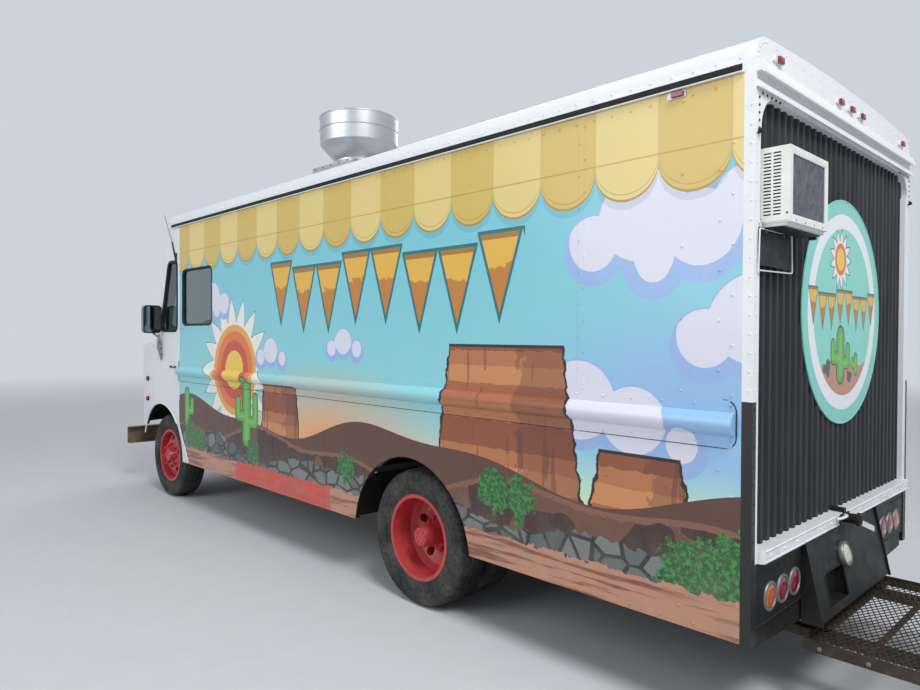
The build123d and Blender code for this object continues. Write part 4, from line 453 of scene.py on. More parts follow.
# Printed film: a made-up sunset desert under clouds, with an awning edge and a row of pennants.
# Circles are (y, z, radius); every length is in metres on the truck's side.
film = dict(
    bandZ=2.415, scallopPitch=0.33, scallopDrop=0.15, bandColour="#cdb15a", bandLight="#dcc67c", bandLine="#a98435",
    bandCast="#2d6f80", skyHigh="#78c3d0", skyMid="#8fd0d6", skyLow="#c9dfb9", skyRear="#93b4e2",
    cloudColour="#d6d7e4", cloudShade="#93b1de",
    clouds=(((2.30, 2.06, 0.17), (2.56, 2.17, 0.24), (2.84, 2.08, 0.20), (2.62, 1.98, 0.16), (3.02, 2.22, 0.13)),
            ((1.95, 1.24, 0.15), (2.22, 1.33, 0.22), (2.52, 1.25, 0.19), (2.76, 1.17, 0.12)),
            ((2.86, 1.62, 0.16), (3.08, 1.70, 0.22)),
            ((0.10, 1.55, 0.08), (0.24, 1.60, 0.11), (0.40, 1.55, 0.08)),
            ((-1.98, 1.90, 0.10), (-1.80, 1.98, 0.15), (-1.58, 1.91, 0.12), (-1.72, 1.86, 0.10)),
            ((-0.92, 1.46, 0.09), (-0.76, 1.52, 0.12), (-0.58, 1.46, 0.08))),
    sun=(-1.38, 1.36), rays=(0.40, 0.42), rayCount=17, rayColour="#e6e5de", glow="#e59a55",
    rings=((0.385, "#e0a24a"), (0.33, "#d9713a"), (0.25, "#c4462f"), (0.165, "#e8c24a")),
    mesas=((1.72, 1.60, 0.40, 0.16), (-0.62, 1.26, 0.24, 0.12), (2.55, 1.12, 0.20, 0.2)),
    mesaColours=((0.0, "#8d4f33"), (0.28, "#b4734b"), (0.46, "#a4633f"), (0.66, "#c58657"), (0.84, "#b27047")),
    mesaShade="#5a2f27", outline="#2b1a1c",
    pennants=dict(start=-0.76, count=8, pitch=0.328, half=0.150, drop=0.45, sag=0.028, cordZ=2.15),
    pennantTop="#dfae45", pennantLow="#bd7a2e", pennantLine="#1f6a6e", pennantHem="#8a5a22",
    farHill="#5b3a30", nearHill="#3d2722", hillPatch="#6a4636", hillRim="#7f5643", rock="#4a5152",
    rockLight="#747c78", rockGap="#23282b",
    bushes=((-2.28, 0.72, 0.13), (-2.10, 0.68, 0.12), (1.66, 0.83, 0.12), (1.84, 0.80, 0.11), (2.80, 0.64, 0.15),
            (2.98, 0.70, 0.16), (-1.05, 0.70, 0.10), (0.28, 0.76, 0.10)),
    bushColour="#20542a", bushLight="#3d8741", cactusColour="#5fae48", cactusLight="#8fd069", cactusLine="#1d4f33",
    cactusRib=0.026, cacti=(((-1.16, 0.80, 1.24, 0.065), (-1.31, 0.98, 1.10, 0.042), (-1.01, 0.94, 1.14, 0.042)),
                            ((-2.36, 0.82, 1.10, 0.05), (-2.25, 0.94, 1.03, 0.035))),
    earth="#bb866d", earthDark="#81493a", earthRed="#cb3a30",
)

class Print(Shader):
    # A print's plane: y runs along axis number "along" of the object, z runs up, and shake is a fine noise on it
    def __init__(self, name, along):
        super().__init__(name)
        self.y, self.z = self.axis(along), self.axis(2)
        self.flat = self.node("CombineXYZ", [0.0, self.y, self.z])
        self.shake = self.noise(self.flat, 16.0, 3.0)

    def shaken(self, reach):
        # The fine noise between -reach and reach
        return self.span(self.shake, 0.3, 0.7, -reach, reach)

    def far(self, point):
        # Distance from a point of the print's plane
        return self.node("VectorMath", [self.flat, point], 1, operation="DISTANCE")

    def blobs(self, circles, wobble=0.0):
        # Union of circles: the least of distance less radius, its edge shaken by noise
        gaps = [self.far((0, y, z)) - radius for y, z, radius in circles]
        nearest = gaps[0]
        for gap in gaps[1:]:
            nearest = nearest.least(gap)
        return nearest + self.shaken(wobble) if wobble else nearest

    def sunburst(self, colour, centre, reach, points, rings):
        # Rays: a disc whose radius swings with the angle, reach[0] + reach[1] * pingpong(angle * points / turn)
        angle = (self.z - centre[1]).maths("ARCTAN2", self.y - centre[0])
        swing = (angle * (points / (2 * math.pi))).maths("PINGPONG", 0.5)
        edge = self.blobs([centre + (reach[0],)]) - swing * reach[1]
        colour = self.mix(edge < 0.013, colour, film["pennantLine"])
        colour = self.mix(edge < 0.0, colour, film["rayColour"])
        for radius, code in rings:
            colour = self.mix(self.blobs([centre + (radius,)]) < 0.0, colour, code)
        return colour

    def cactus(self, colour, parts):
        # Distance to upright segments, each arm joined to the stem by a level one; ribs follow the stem
        stem, nearest = parts[0][0], None
        for y, low, high, radius in parts:
            upright, level = ((y, y), (low, high)), ((min(y, stem), max(y, stem)), (low, low))
            for across, rise in (upright, level) if y != stem else (upright,):
                reach, rest = self.y.most(across[0]).least(across[1]), self.z.most(rise[0]).least(rise[1])
                gap = self.far(self.node("CombineXYZ", [0.0, reach, rest])) / radius
                nearest = gap if nearest is None else nearest.least(gap)
        ribs = ((self.y - stem) * (1 / film["cactusRib"])).maths("FRACT")
        skin = self.mix((ribs > 0.74) * 0.55, film["cactusColour"], film["cactusLine"])
        skin = self.mix((nearest < 0.42) * 0.4, skin, film["cactusLight"])
        return self.mix(nearest < 1.0, self.mix(nearest < 1.22, colour, film["cactusLine"]), skin)

    def pennants(self, colour, spec):
        # Local place along one pennant; its width shrinks with the drop below a cord that sags over four of them
        half, drop, pitch, start = spec["half"], spec["drop"], spec["pitch"], spec["start"]
        local = (self.y - start) * (1 / pitch)
        count = local.maths("FLOOR")
        off = abs(local - count - 0.5) * pitch
        sag = ((count + 0.5) % 4.0 - 2.0) ** 2.0
        fallen = sag.scaled(spec["sag"], spec["cordZ"]) - self.z
        edge = (off - fallen.scaled(-half / drop, half)).most(fallen * -1.0)
        end = start + spec["count"] * pitch
        edge = edge.most(abs(self.y - (start + end) / 2) - (end - start) / 2)
        cloth = self.mix(fallen > self.shake.scaled(0.3 * drop, 0.25 * drop), film["pennantTop"], film["pennantLow"])
        cloth = self.mix((fallen < 0.08 * drop) * 0.8, cloth, film["pennantHem"])
        line = drop * 0.032
        return self.mix(edge < -line * 0.4, self.mix(edge < line, colour, film["pennantLine"]), cloth)


def skyLayers(work):
    # Sky that pales downwards, blue behind the rear clouds, warm where the sun sets, with sun and clouds
    y, z = work.y, work.z
    stops = ((0.0, film["skyLow"]), (0.16, film["skyMid"]), (0.8, film["skyHigh"]))
    colour = work.node("ValToRGB", [work.span(z, 0.85, 2.45, 0.0, 1.0)], stops=stops)
    rear = work.span(y, 1.7, 2.6, 0.0, 0.8) * work.span(z, 1.9, 1.5, 0.0, 1.0) * work.span(z, 0.95, 1.15, 0.0, 1.0)
    colour = work.mix(rear, colour, film["skyRear"])
    squashed = work.node("VectorMath", [work.flat, (0, 0.42, 1)], operation="MULTIPLY")
    warm = work.node("VectorMath", [squashed, (0, 0.02, 0.86)], 1, operation="DISTANCE")
    colour = work.mix(work.span(warm, 0.08, 0.62, 0.95, 0.0), colour, film["glow"])
    colour = work.sunburst(colour, film["sun"], film["rays"], film["rayCount"], film["rings"])
    for circles in film["clouds"]:
        edge = work.blobs(circles)
        middle = sum(circle[1] for circle in circles) / len(circles)
        colour = work.mix(edge < 0.0, colour, film["cloudShade"])
        sink = work.span(z, middle + 0.05, middle - 0.15, 0.008, 0.075)
        colour = work.mix(edge + sink < 0.0, colour, film["cloudColour"])
    return colour


def landLayers(work, colour):
    # Mesas with stripes, cracks and a shaded side; hills whose edges are two sines; cacti, stones, bushes and earth
    y, z, shake = work.y, work.z, work.shake
    wave, swell = ((y * pitch).maths("SINE") for pitch in (2.1, 4.7))
    for centre, top, half, lean in film["mesas"]:
        off, bend = y - centre, work.shaken(0.012)
        edge = (abs(off) - ((top - z).scaled(lean, half) + bend)).most(z - top)
        colour = work.mix(edge < 0.012, colour, film["outline"])
        stripe = work.node("ValToRGB", [(z * 1.9 + bend).maths("FRACT")], stops=film["mesaColours"])
        stripe.socket.node.color_ramp.interpolation = "CONSTANT"
        shaded = bend.scaled(5.0, off - half * 0.30) > 0.0
        stripe = work.mix(shaded * 0.42, stripe, film["mesaShade"])
        crack = work.noise(work.stretched(work.flat, (1, 17.0, 1.6)), 1.0, 2.0)
        stripe = work.mix((crack > 0.64) * 0.5, stripe, film["mesaShade"])
        colour = work.mix(edge < -0.004, colour, stripe)
    colour = work.mix(z < swell.scaled(0.035, wave.scaled(0.09, 0.98)), colour, film["farHill"])
    near = swell.scaled(0.045, wave.scaled(-0.06, 0.83))
    hill = work.mix(work.noise(work.flat, 3.2, 1.0) > 0.56, film["nearHill"], film["hillPatch"])
    hill = work.mix(z > shake.scaled(0.05, near - 0.055), hill, film["hillRim"])
    colour = work.mix(z < near, colour, hill)
    for parts in film["cacti"]:
        colour = work.cactus(colour, parts)
    # Stones: cells whose edges are dark and whose tone is each cell's own
    cells = {"Vector": work.stretched(work.flat, (1, 6.5, 11.0)), "Scale": 1.0}
    tone = work.node("SeparateXYZ", [work.node("TexVoronoi", cells, 1)])
    gap = work.node("TexVoronoi", cells, feature="DISTANCE_TO_EDGE")
    stone = work.mix(gap < 0.07, work.mix(tone, film["rock"], film["rockLight"]), film["rockGap"])
    crest = wave.scaled(0.05, swell.scaled(-0.05, 0.72)) - 0.05
    colour = work.mix(z < shake.scaled(0.10, crest), colour, stone)
    leaf = work.span(work.noise(work.flat, 42.0, 4.0, 0.7), 0.48, 0.56, 0.0, 1.0)
    bush = work.mix(leaf, film["bushColour"], film["bushLight"])
    colour = work.mix(work.blobs(film["bushes"], 0.05) < 0.0, colour, bush)
    # Earth, streaked along the truck, redder ahead of the rear wheel
    streak = work.noise(work.stretched(work.flat, (1, 1.6, 26.0)), 1.0, 4.0, 0.6)
    earth = work.mix(work.span(streak, 0.52, 0.60, 0.0, 1.0), film["earth"], film["earthDark"])
    red = work.span(y + 0.55, 0.75, 0.55, 0.0, 1.0) * work.span(y, -1.5, -1.2, 0.0, 1.0) + (shake - 0.5)
    earth = work.mix((red > 0.5) * 0.85, earth, film["earthRed"])
    return work.mix(z < shake.scaled(0.09, 0.545), colour, earth)


def awningLayers(work, colour):
    # Half circles hang from a band: the edge is bandZ - drop * sqrt(1 - x * x), with a cast shadow below it
    z, line = work.z, film["bandLine"]
    column = work.y * (1 / film["scallopPitch"])
    bow = (column.maths("FRACT") - 0.5) * 2.0
    bow = (1.0 - bow ** 2.0) ** 0.5
    over = z - bow.scaled(-film["scallopDrop"], film["bandZ"])
    colour = work.mix((over > -0.035) * 0.22, colour, film["bandCast"])
    colour = work.mix(over > 0.0, colour, line)
    odd = (column.maths("FLOOR") + 40.0) % 2.0
    band = work.mix(odd > 0.5, film["bandColour"], film["bandLight"])
    band = work.mix(work.span(bow, 0.0, 0.35, 0.28, 0.0), band, line)
    # A seam follows the half circles and another the band
    for height, level, width, share in ((over, 0.034, 0.0025, 0.7), (z, film["bandZ"] + 0.035, 0.004, 0.6)):
        band = work.mix((abs(height - level) < width) * share, band, line)
    return work.mix(over > 0.011, colour, band)


def filmMaterial(name, skinX):
    # Printed vinyl film over riveted aluminium: saturated print, soft gloss, sheet that is never quite flat;
    # inside the skin's depth the lining of mill sheet shows, with dark undercoat below the floor
    work = Print(name, 1)
    colour = landLayers(work, skyLayers(work))
    colour = awningLayers(work, work.pennants(colour, film["pennants"]))
    inside, under = abs(work.axis(0)) < skinX, work.z < 0.806
    colour = work.mix(inside, colour, work.mix(under, "#b9bcbf", "#1b1917"))
    shown = 1.0 - inside * under
    grime = work.noise(work.place, 9.0, 7.0, 0.7)
    low = work.span(work.z, 0.9, 0.43, 0.0, 0.4) * work.span(grime, 0.45, 0.65, 0.1, 1.0)
    colour = work.mix(low * shown, colour, "#8f8270")
    rough, wave = work.span(grime, 0.3, 0.7, 0.27, 0.4), work.noise(work.place, 2.6, 1.0)
    return work.finish(colour, rough, (wave, 0.5, 0.006), {
        "Metallic": inside * shown * 0.8, "Coat Roughness": 0.15, "Coat Weight": shown * 0.25})


def cornerMaterial():
    # Rear frame: white enamel above the rail, black chassis enamel below it and under the sill
    work = Shader("twoToneCornerEnamel")
    z = work.axis(2)
    black = ((abs(work.axis(0)) > 1.052) * (z < 1.40)).most(z < 0.7515)
    grime = work.noise(work.place, 14.0, 7.0, 0.7)
    dirt = work.span(grime, 0.48, 0.72, 0.0, 0.5) * work.span(z, 0.9, 0.76, 0.15, 1.0)
    colour = work.mix(black, work.mix(dirt, "#e4e6e8", "#b99a97"), "#151618")
    rough = work.span(grime, 0.3, 0.7, 0.32, 0.5)
    return work.finish(colour, rough, (grime, 0.2, 0.001), {"Coat Weight": 0.15})


def floorMaterial():
    # Body floor: aluminium tread sheet above, sprayed bitumen undercoat below, which drinks the light
    work = Shader("undercoatedFloorSheet")
    above = work.axis(2) > 0.809
    dust = work.span(work.noise(work.place, 7.0, 6.0), 0.45, 0.7, 0.0, 1.0)
    colour = work.mix(above, work.mix(dust, "#161412", "#2a2621"), "#a9acaf")
    return work.finish(colour, 0.7, (work.noise(work.place, 90.0, 4.0), 0.5, 0.002), {
        "Specular IOR Level": 0.25, "Metallic": above * 0.8})


def cabMaterial():
    # Cab sheet: white enamel sprayed outside, brown-black undercoat in the arches, dark trim board inside the cab.
    # Depth under the skin is a rounded rectangle's distance: length(max(p - (size - radius), 0)) - radius
    work = Shader("sprayedCabSheet")
    y, z = work.axis(1), work.axis(2)
    across = (abs(work.axis(0)) - work.span(y, -3.508, -3.173, 0.733, 0.755)).most(0.0)
    corner = work.node("CombineXYZ", [across, (-3.508 - y).most(0.0), 0.0])
    inside = work.node("VectorMath", [corner], 1, operation="LENGTH") - 0.33 < -0.008
    arch = inside * (z < 1.02)
    trim = (inside * (z < 1.50) * (y > -3.336)).most(arch)
    tone = work.span(work.noise(work.place, 2.0, 5.0, 0.6), 0.35, 0.68, 0.0, 1.0)
    grime = work.noise(work.place, 22.0, 6.0, 0.7)
    dirt = work.span(z, 1.0, 0.45, 0.0, 0.4) * work.span(grime, 0.42, 0.66, 0.2, 1.0)
    colour = work.mix(tone, "#dfe2e4", "#dadde0")
    for mask, code in ((dirt, "#a39a8c"), (trim, "#55585b"), (arch, "#191714")):
        colour = work.mix(mask, colour, code)
    rough = work.node("Mix", {0: trim, 2: work.span(grime, 0.3, 0.7, 0.28, 0.42), 3: 0.85})
    return work.finish(colour, rough, (grime, 0.15, 0.0008), {"Coat Weight": (1.0 - trim) * 0.25})


# The sign's own print, in the same terms: centre, circles and colours, then sun, pennants, cacti and stones
signPrint = dict(centre=(-0.02, 1.784), discRadius=0.417, ringRadius=0.488, sky="#86cfc3", disc="#e3e6ea",
                 ring="#80cabe", sun=(0.04, 2.045), rays=(0.085, 0.12), rayCount=13,
                 rings=((0.08, "#d9713a"), (0.055, "#e8c24a")),
                 pennants=dict(start=-0.50, count=8, pitch=0.12, half=0.056, drop=0.165, sag=0.012, cordZ=1.865),
                 cacti=(((0.03, 1.48, 1.66, 0.048), (0.135, 1.555, 1.62, 0.028), (-0.075, 1.53, 1.60, 0.028)),
                        ((-0.20, 1.49, 1.55, 0.026), (-0.145, 1.515, 1.54, 0.016))),
                 stones=((0.20, 1.515, 0.035), (0.25, 1.51, 0.025), (-0.10, 1.455, 0.03)))


def signMaterial():
    # Cut sign board: printed film in aqua with a white ring, and a made-up cactus, sun and pennants in it
    work = Print("printedSignBoard", 0)
    far = work.far((0, *signPrint["centre"]))
    disc = work.mix(work.z < work.span(work.shake, 0.3, 0.7, 1.50, 1.54), signPrint["sky"], film["earth"])
    disc = work.sunburst(disc, signPrint["sun"], signPrint["rays"], signPrint["rayCount"], signPrint["rings"])
    for parts in signPrint["cacti"]:
        disc = work.cactus(disc, parts)
    disc = work.mix(work.blobs(signPrint["stones"], 0.02) < 0.0, disc, film["rock"])
    colour = work.mix(far > signPrint["discRadius"], disc, signPrint["disc"])
    colour = work.mix(far > signPrint["ringRadius"], colour, signPrint["ring"])
    colour = work.pennants(colour, signPrint["pennants"])
    return work.finish(colour, work.span(work.noise(work.place, 12.0, 6.0), 0.3, 0.7, 0.3, 0.45))


made["film"] = filmMaterial("printedVinylFilm", 1.0805)
made["hatchFilm"] = filmMaterial("printedVinylHatch", 1.1165)
made["doorFilm"] = filmMaterial("printedVinylDoor", 1.0365)
made["corner"] = cornerMaterial()
made["floor"] = floorMaterial()
made["cab"] = cabMaterial()
made["sign"] = signMaterial()

cadFinish = dict(
    chassis_frame="blackEnamel", engine_block="castIron", radiator="castIron", front_axle="castIron",
    rear_axle="castIron", leaf_springs="castIron", drive_shaft="castIron", fuel_tank="blackEnamel",
    exhaust_pipe="rustySteel", body_floor="floor", left_wall="film", right_wall="film", roof="whiteEnamel",
    rear_frame="corner", rear_panel="panelPaint", lower_rear_panel="blackEnamel", step_box="blackEnamel",
    rear_deck="deckSteel", cab_shell="cab", hood_lid="whiteEnamel", grille="blackEnamel", cab_glass="glass",
    front_bumper="rustySteel", front_lamps="lensClear", rear_lamps="lensRed", engine_cover="coverCarpet",
    dashboard="blackPlastic", steering_wheel="blackPlastic", driver_seat="seatVinyl", mirrors="mirrorPaint",
    exhaust_fan="spunAluminium", air_conditioner="caseEnamel", rear_sign="sign", plate_holder="blackEnamel",
    panel_latch="blackEnamel", serving_hatch="hatchFilm", serving_shelf="stainless", entry_door="doorFilm",
    door_glass="glass", kitchen_counters="stainless", range_hood="stainless", knuckle_left="castIron",
    knuckle_right="castIron", tie_rod="castIron", front_tyre_left="tyre", front_tyre_right="tyre",
    rear_tyres_left="tyre", rear_tyres_right="tyre", front_wheel_left="wheelEnamel", front_wheel_right="wheelEnamel",
    rear_wheels_left="wheelEnamel", rear_wheels_right="wheelEnamel",
)
for name, key in cadFinish.items():
    for slot in nodes[name].material_slots:
        slot.material = made[key]
print("model dressed")

# Camera at the photograph's place and angle
camera = bpy.data.cameras.new("camera")
camera.lens, camera.sensor_width, camera.clip_end = 27.305, 36.0, 500.0
eye = linked("camera", camera)
turn = Matrix(((-0.72198588, -0.00546654, 0.6918862), (0.6918928, -0.012287, 0.72189569),
               (0.00455493, 0.99990957, 0.0126533)))
eye.matrix_world = Matrix.Translation((3.810, 4.242, 1.6556)) @ turn.to_4x4()
bpy.context.scene.camera = eye

# Studio: pale floor, a large key from behind the camera's right, two soft fills. Lamps: place, size, power
studio = dict(key=((3.5, 8.0, 9.5), 4.0, 900.0), side=((10.5, -1.5, 5.5), 8.0, 400.0),
              far=((-8.0, -6.0, 7.0), 8.0, 360.0))
for name, (place, size, power) in studio.items():
    lamp = bpy.data.lights.new(name, "AREA")
    lamp.shape, lamp.size, lamp.energy = "DISK", size, power
    aim = Vector(place) - Vector((0, 0.5, 1.2))
    linked(name, lamp).matrix_world = Matrix.Translation(place) @ aim.to_track_quat("Z", "Y").to_matrix().to_4x4()
world = bpy.data.worlds.new("studio")
bpy.context.scene.world = world
world.use_nodes = True
tree = world.node_tree
tree.nodes.clear()
rays = addNode(tree, "LightPath")
seen = addNode(tree, "Math", [rays, rays.node.outputs["Is Glossy Ray"]], operation="MAXIMUM")
seen = addNode(tree, "Math", [seen, rays.node.outputs["Is Transmission Ray"]], operation="MAXIMUM")
ambient = addNode(tree, "Background", ["#e6ecf5", 0.46])
backdrop = addNode(tree, "Background", ["#ccd3da", 1.0])
addNode(tree, "OutputWorld", [addNode(tree, "MixShader", [seen, ambient, backdrop])])
floorWork = dict(half=60.0, fadeFrom=6.0, fadeTo=26.0)
half = floorWork["half"]
floorMesh = bpy.data.meshes.new("floor")
floorMesh.from_pydata([(-half, -half, 0), (half, -half, 0), (-half, half, 0), (half, half, 0)], [], [(0, 1, 3, 2)])
floor = linked("floor", floorMesh)
# Pale studio sheet: matt, faintly speckled, fading into the backdrop with distance
work = Shader("paleStudioFloor")
speck = work.mix(work.noise(work.place, 6.0, 4.0), "#c4c6c9", "#cccfd1")
far = work.node("VectorMath", [work.place], 1, operation="LENGTH")
far = work.span(far, floorWork["fadeFrom"], floorWork["fadeTo"], 0.0, 1.0)
near = work.node("BsdfPrincipled", {"Base Color": speck, "Roughness": 0.9})
addNode(work.tree, "OutputMaterial", [work.node("MixShader", [far, near, work.node("Emission", ["#ccd3da", 1.0])])])
floorMesh.materials.append(work.material)
bpy.context.scene.view_settings.view_transform = "Standard"
print("studio set")

# Sheets and rivets of both sides. Columns: y, first z, pitch. Rows: z, pitch, height above the sheet.
sheetWork = dict(headRadius=0.0068, headHeight=0.0042, lapWidth=0.038, lapLift=0.0012, lapSunk=0.002,
                 laps=(2.235, 1.49, 0.745, 0.0, -0.745, -1.49),
                 columns=((2.976, 2.435, 0.203), (2.922, 2.333, 0.203), (2.755, 2.65, 0.305), (2.25, 2.65, 0.152),
                          (2.22, 2.574, 0.152), (1.49, 2.65, 0.152), (0.745, 2.65, 0.152), (0.0, 2.65, 0.152),
                          (-0.745, 2.65, 0.152), (-1.49, 2.65, 0.152), (-2.53, 2.66, 0.10)),
                 rows=((2.668, 0.10, 0.0), (1.383, 0.152, 0.003), (1.226, 0.152, 0.003), (1.015, 0.305, 0.0),
                       (0.81, 0.203, 0.0), (0.455, 0.152, 0.0)))
headRadius = sheetWork["headRadius"]
head = turned([(0, -0.001), (headRadius, -0.001), (headRadius * 0.95, 0.0016), (headRadius * 0.6, 0.0036),
               (0, sheetWork["headHeight"])], count=8)


def rivets(x, y, z, right, out, size=1.0):
    # Rivet heads at all the places, standing along out
    return copies(head, spread(x, y, z), right, out, size)


def onSheet(y, z, side):
    # True where a fastener meets sheet: clear of arches, windows, openings, hatch, shelf and rail
    keep = (np.hypot(y - archY, z - archZ) > 0.575) & (z > 0.445) & (z < 2.69) & ((z < 1.245) | (z > 1.362))
    keep &= (z > 1.02) | (y > -2.53 + np.interp(z, (0.43, 0.594, 0.776, 1.018), (0.226, 0.132, 0.03, 0.0)))
    if side > 0:
        return keep & ~((y > -2.51) & (y < -1.78) & (z > 1.70) & (z < 2.33))
    keep &= ~((y > -2.39) & (y < -1.69) & (z < 2.50))
    return keep & ~((y > -0.74) & (y < 0.97) & (z > 1.16) & (z < 2.56))


def sideRivets(side):
    # Points of every column and row, thinned by the sheet test
    points = [spread(y, z - np.arange(16) * pitch, 0.0) for y, z, pitch in sheetWork["columns"]]
    points += [spread(np.arange(-2.50, 2.99, pitch), z, lift) for z, pitch, lift in sheetWork["rows"]]
    y, z, lift = np.concatenate(points).T
    keep = onSheet(y, z, side)
    return rivets(side * (halfWidth + lift[keep]), y[keep], z[keep], yAxis, xAxis * side)


def sideLaps(side):
    # Overlap of two sheets: a thin strip from skirt to gutter, broken at the rail, drawn in at its rims
    strips = []
    half, sunk = sheetWork["lapWidth"] / 2, sheetWork["lapSunk"]
    for y in sheetWork["laps"]:
        arch = archZ + math.sqrt(max(0.565 ** 2 - (y - archY) ** 2, 0))
        for low, high in ((max(0.436, arch), 1.205), (1.404, 2.70)):
            steps = np.linspace(low, high, 40)
            tested = np.where((steps > 1.2) & (steps < 1.41), 1.1, steps).clip(0.45, 2.68)
            fine = steps[onSheet(np.full(40, y), tested, side)]
            if len(fine) < 4 or (side < 0 and abs(y) < 0.9 and low > 1.3):
                continue
            low, high, middle = fine[0] if low > 0.44 else low, fine[-1], y * side
            outline = [(middle - half, low), (middle + half, low), (middle + half, high), (middle - half, high)]
            strips.append(plate(outline, sheetWork["lapLift"] + sunk, (side * (halfWidth - sunk), 0, 0),
                                yAxis * side, zAxis, 0.0008))
    return strips


for side, word in sides:
    makePiece(word + "_rivets", sideRivets(side), "film")
    makePiece(word + "_sheet_laps", sideLaps(side), "film")

# Dark bead under the rail's lower flange and round its rear end, painting the shadow line at the flange's edge.
# Runs: side, start, end or None where it turns up round the rail's end.
beadWork = dict(low=1.2065, high=1.4025, endY=2.998, turnIn=0.055, radius=0.0024, lift=0.0006,
                runs=((1, -2.545, None), (-1, -1.66, -0.75), (-1, 1.00, None)))
beads = []
low, high, end, turnIn = (beadWork[key] for key in ("low", "high", "endY", "turnIn"))
for side, start, stop in beadWork["runs"]:
    x = side * (halfWidth + beadWork["lift"])
    path = [(x, start, low), (x, stop, low)]
    if stop is None:
        path = np.concatenate([path[:1], bezier([(x, end - turnIn, low), (x, end, low), (x, end, low + turnIn)], 8),
                               bezier([(x, end, high - turnIn), (x, end, high), (x, end - turnIn, high)], 8)])
    beads.append(tube(path, beadWork["radius"], xAxis, 8))
makePiece("rail_flange_shadow_bead", beads, "sealRubber")

# Splash panels close the rear wheel wells before and behind the tyres: arcs about the arch's centre
# Their dark undercoat is a real finish and also paints the shade inside the wells
splashWork = dict(radius=0.585, bottom=0.432, top=0.735, middleX=0.8447, half=0.2260, thick=0.004)
arcs = [math.asin((splashWork[key] - archZ) / splashWork["radius"]) for key in ("bottom", "top")]
splash = []
for side in (1, -1):
    for sweep in (np.linspace(*arcs, 10), math.pi - np.linspace(*arcs, 10)):
        radial = spread(0.0, np.cos(sweep), np.sin(sweep))
        path = radial * splashWork["radius"] + (side * splashWork["middleX"], archY, archZ)
        half, thick = splashWork["half"], splashWork["thick"]
        splash.append(carried([(-half, 0), (half, 0), (half, thick), (-half, thick)], path, radial))
makePiece("splash_panels", splash, "undercoat")
print("sides riveted")

# Roof edge: rivets above the gutter, a dark strip in the gutter's face as painted shadow, drip lip, laps over the
# roof
roofWork = dict(rivetZ=2.765, rivetPitch=0.10, lapYs=(2.30, 1.55, 0.80, 0.05, -0.70, -1.45, -2.20), lapWidth=0.045,
                lapLift=0.0014, cornerX=0.985, cornerZ=2.755, cornerRadius=0.1, crownZ=2.885, crown=0.0309,
                gutterX=1.0985, lipX=1.0965, lipZ=2.7065, postX=1.066)
cornerX, cornerZ = roofWork["cornerX"], roofWork["cornerZ"]
ys = np.arange(-2.70, 3.01, roofWork["rivetPitch"])
roofHeads = [rivets(side * halfWidth, ys, roofWork["rivetZ"], yAxis, xAxis * side) for side in (1, -1)]
turn = np.linspace(0, math.pi / 2, 9)[:, None]
arc = np.concatenate([cornerX + roofWork["cornerRadius"] * np.cos(turn),
                      cornerZ + roofWork["cornerRadius"] * np.sin(turn)], 1)
x = np.linspace(0.93, -0.93, 15)
crown = np.stack([x, roofWork["crownZ"] - roofWork["crown"] * x ** 2], -1)
section = np.concatenate([arc, crown, arc[::-1] * (-1, 1)])
laps = []
half, high = roofWork["lapWidth"] / 2, roofWork["lapLift"]
for y in roofWork["lapYs"]:
    # Up for the strip is the section's outward normal, so the profile lies on the skin
    path = spread(section[:, 0], y, section[:, 1])
    up = np.cross(np.gradient(path, axis=0), -yAxis)
    up /= np.linalg.norm(up, axis=1, keepdims=True)
    laps.append(carried([(-half + 0.001, high), (half - 0.001, high), (half, -0.002), (-half, -0.002)], path, up))
makePiece("roof_laps", laps, "whiteEnamel")
strips, lips, header = [], [], []
for side in (1, -1):
    # Dark strip in the gutter's face: painted shadow under the roof's edge, in the rubber finish
    strips.append(block((side * roofWork["gutterX"], -2.71, 2.7095), (side * 1.1, 3.014, 2.736)))
    x, z = side * roofWork["lipX"], roofWork["lipZ"]
    lips.append(tube([(x, -2.72, z), (x, 3.016, z)], 0.0042, zAxis, 8))
makePiece("gutter_shadow_strip", strips, "sealRubber")
makePiece("gutter_lips", lips, "whiteEnamel")
for z in (2.835, 2.762):
    header.append(rivets(np.arange(-0.98, 1.0, 0.0984), rearY, z, xAxis, yAxis, 0.8))
corner, zs = np.linspace(0.08, 1.5, 6), np.arange(0.47, 2.62, 0.075)
for side in (1, -1):
    header.append(rivets(side * (cornerX + 0.08 * np.cos(corner)), rearY, cornerZ + 0.08 * np.sin(corner),
                         xAxis, yAxis, 0.8))
    header.append(rivets(side * halfWidth, 3.047, zs, yAxis, xAxis * side, 0.8))
    header.append(rivets(side * roofWork["postX"], rearY, zs, xAxis, yAxis, 0.7))
makePiece("frame_rivets", roofHeads + header, "corner")

# Rear frame: gussets that follow the opening's corner, beads and rivets of the sill
rearWork = dict(gussetRadius=0.143, gussetCentre=(0.895, 2.482), sillY=3.09,
                gusset=((0.80, 2.628), (1.070, 2.628), (1.078, 2.60), (1.074, 2.462), (1.038, 2.462)))
shapes, bolts = [], []
(x, z), radius, sillY = rearWork["gussetCentre"], rearWork["gussetRadius"], rearWork["sillY"]
turn = np.linspace(0, math.pi / 2, 14)
inner = np.stack([x + radius * np.cos(turn), z + radius * np.sin(turn)], -1)
outline = np.concatenate([rearWork["gusset"], inner]) * (-1, 1)
for side in (1, -1):
    shapes.append(plate(outline if side > 0 else (outline * (-1, 1))[::-1], 0.005, (0, rearY - 0.001, 0),
                        -xAxis, zAxis, 0.001))
    bolts.append(rivets(side * 1.060, rearY + 0.004, np.linspace(2.48, 2.60, 5), xAxis, yAxis, 0.9))
    bolts.append(rivets(side * np.linspace(0.86, 1.03, 5), rearY + 0.004, 2.622, xAxis, yAxis, 0.9))
    bolts.append(turned([(0, 0), (0.011, 0), (0.011, 0.016), (0.007, 0.022), (0, 0.022)],
                        (side * 1.062, rearY - 0.002, 2.468), yAxis, 12))
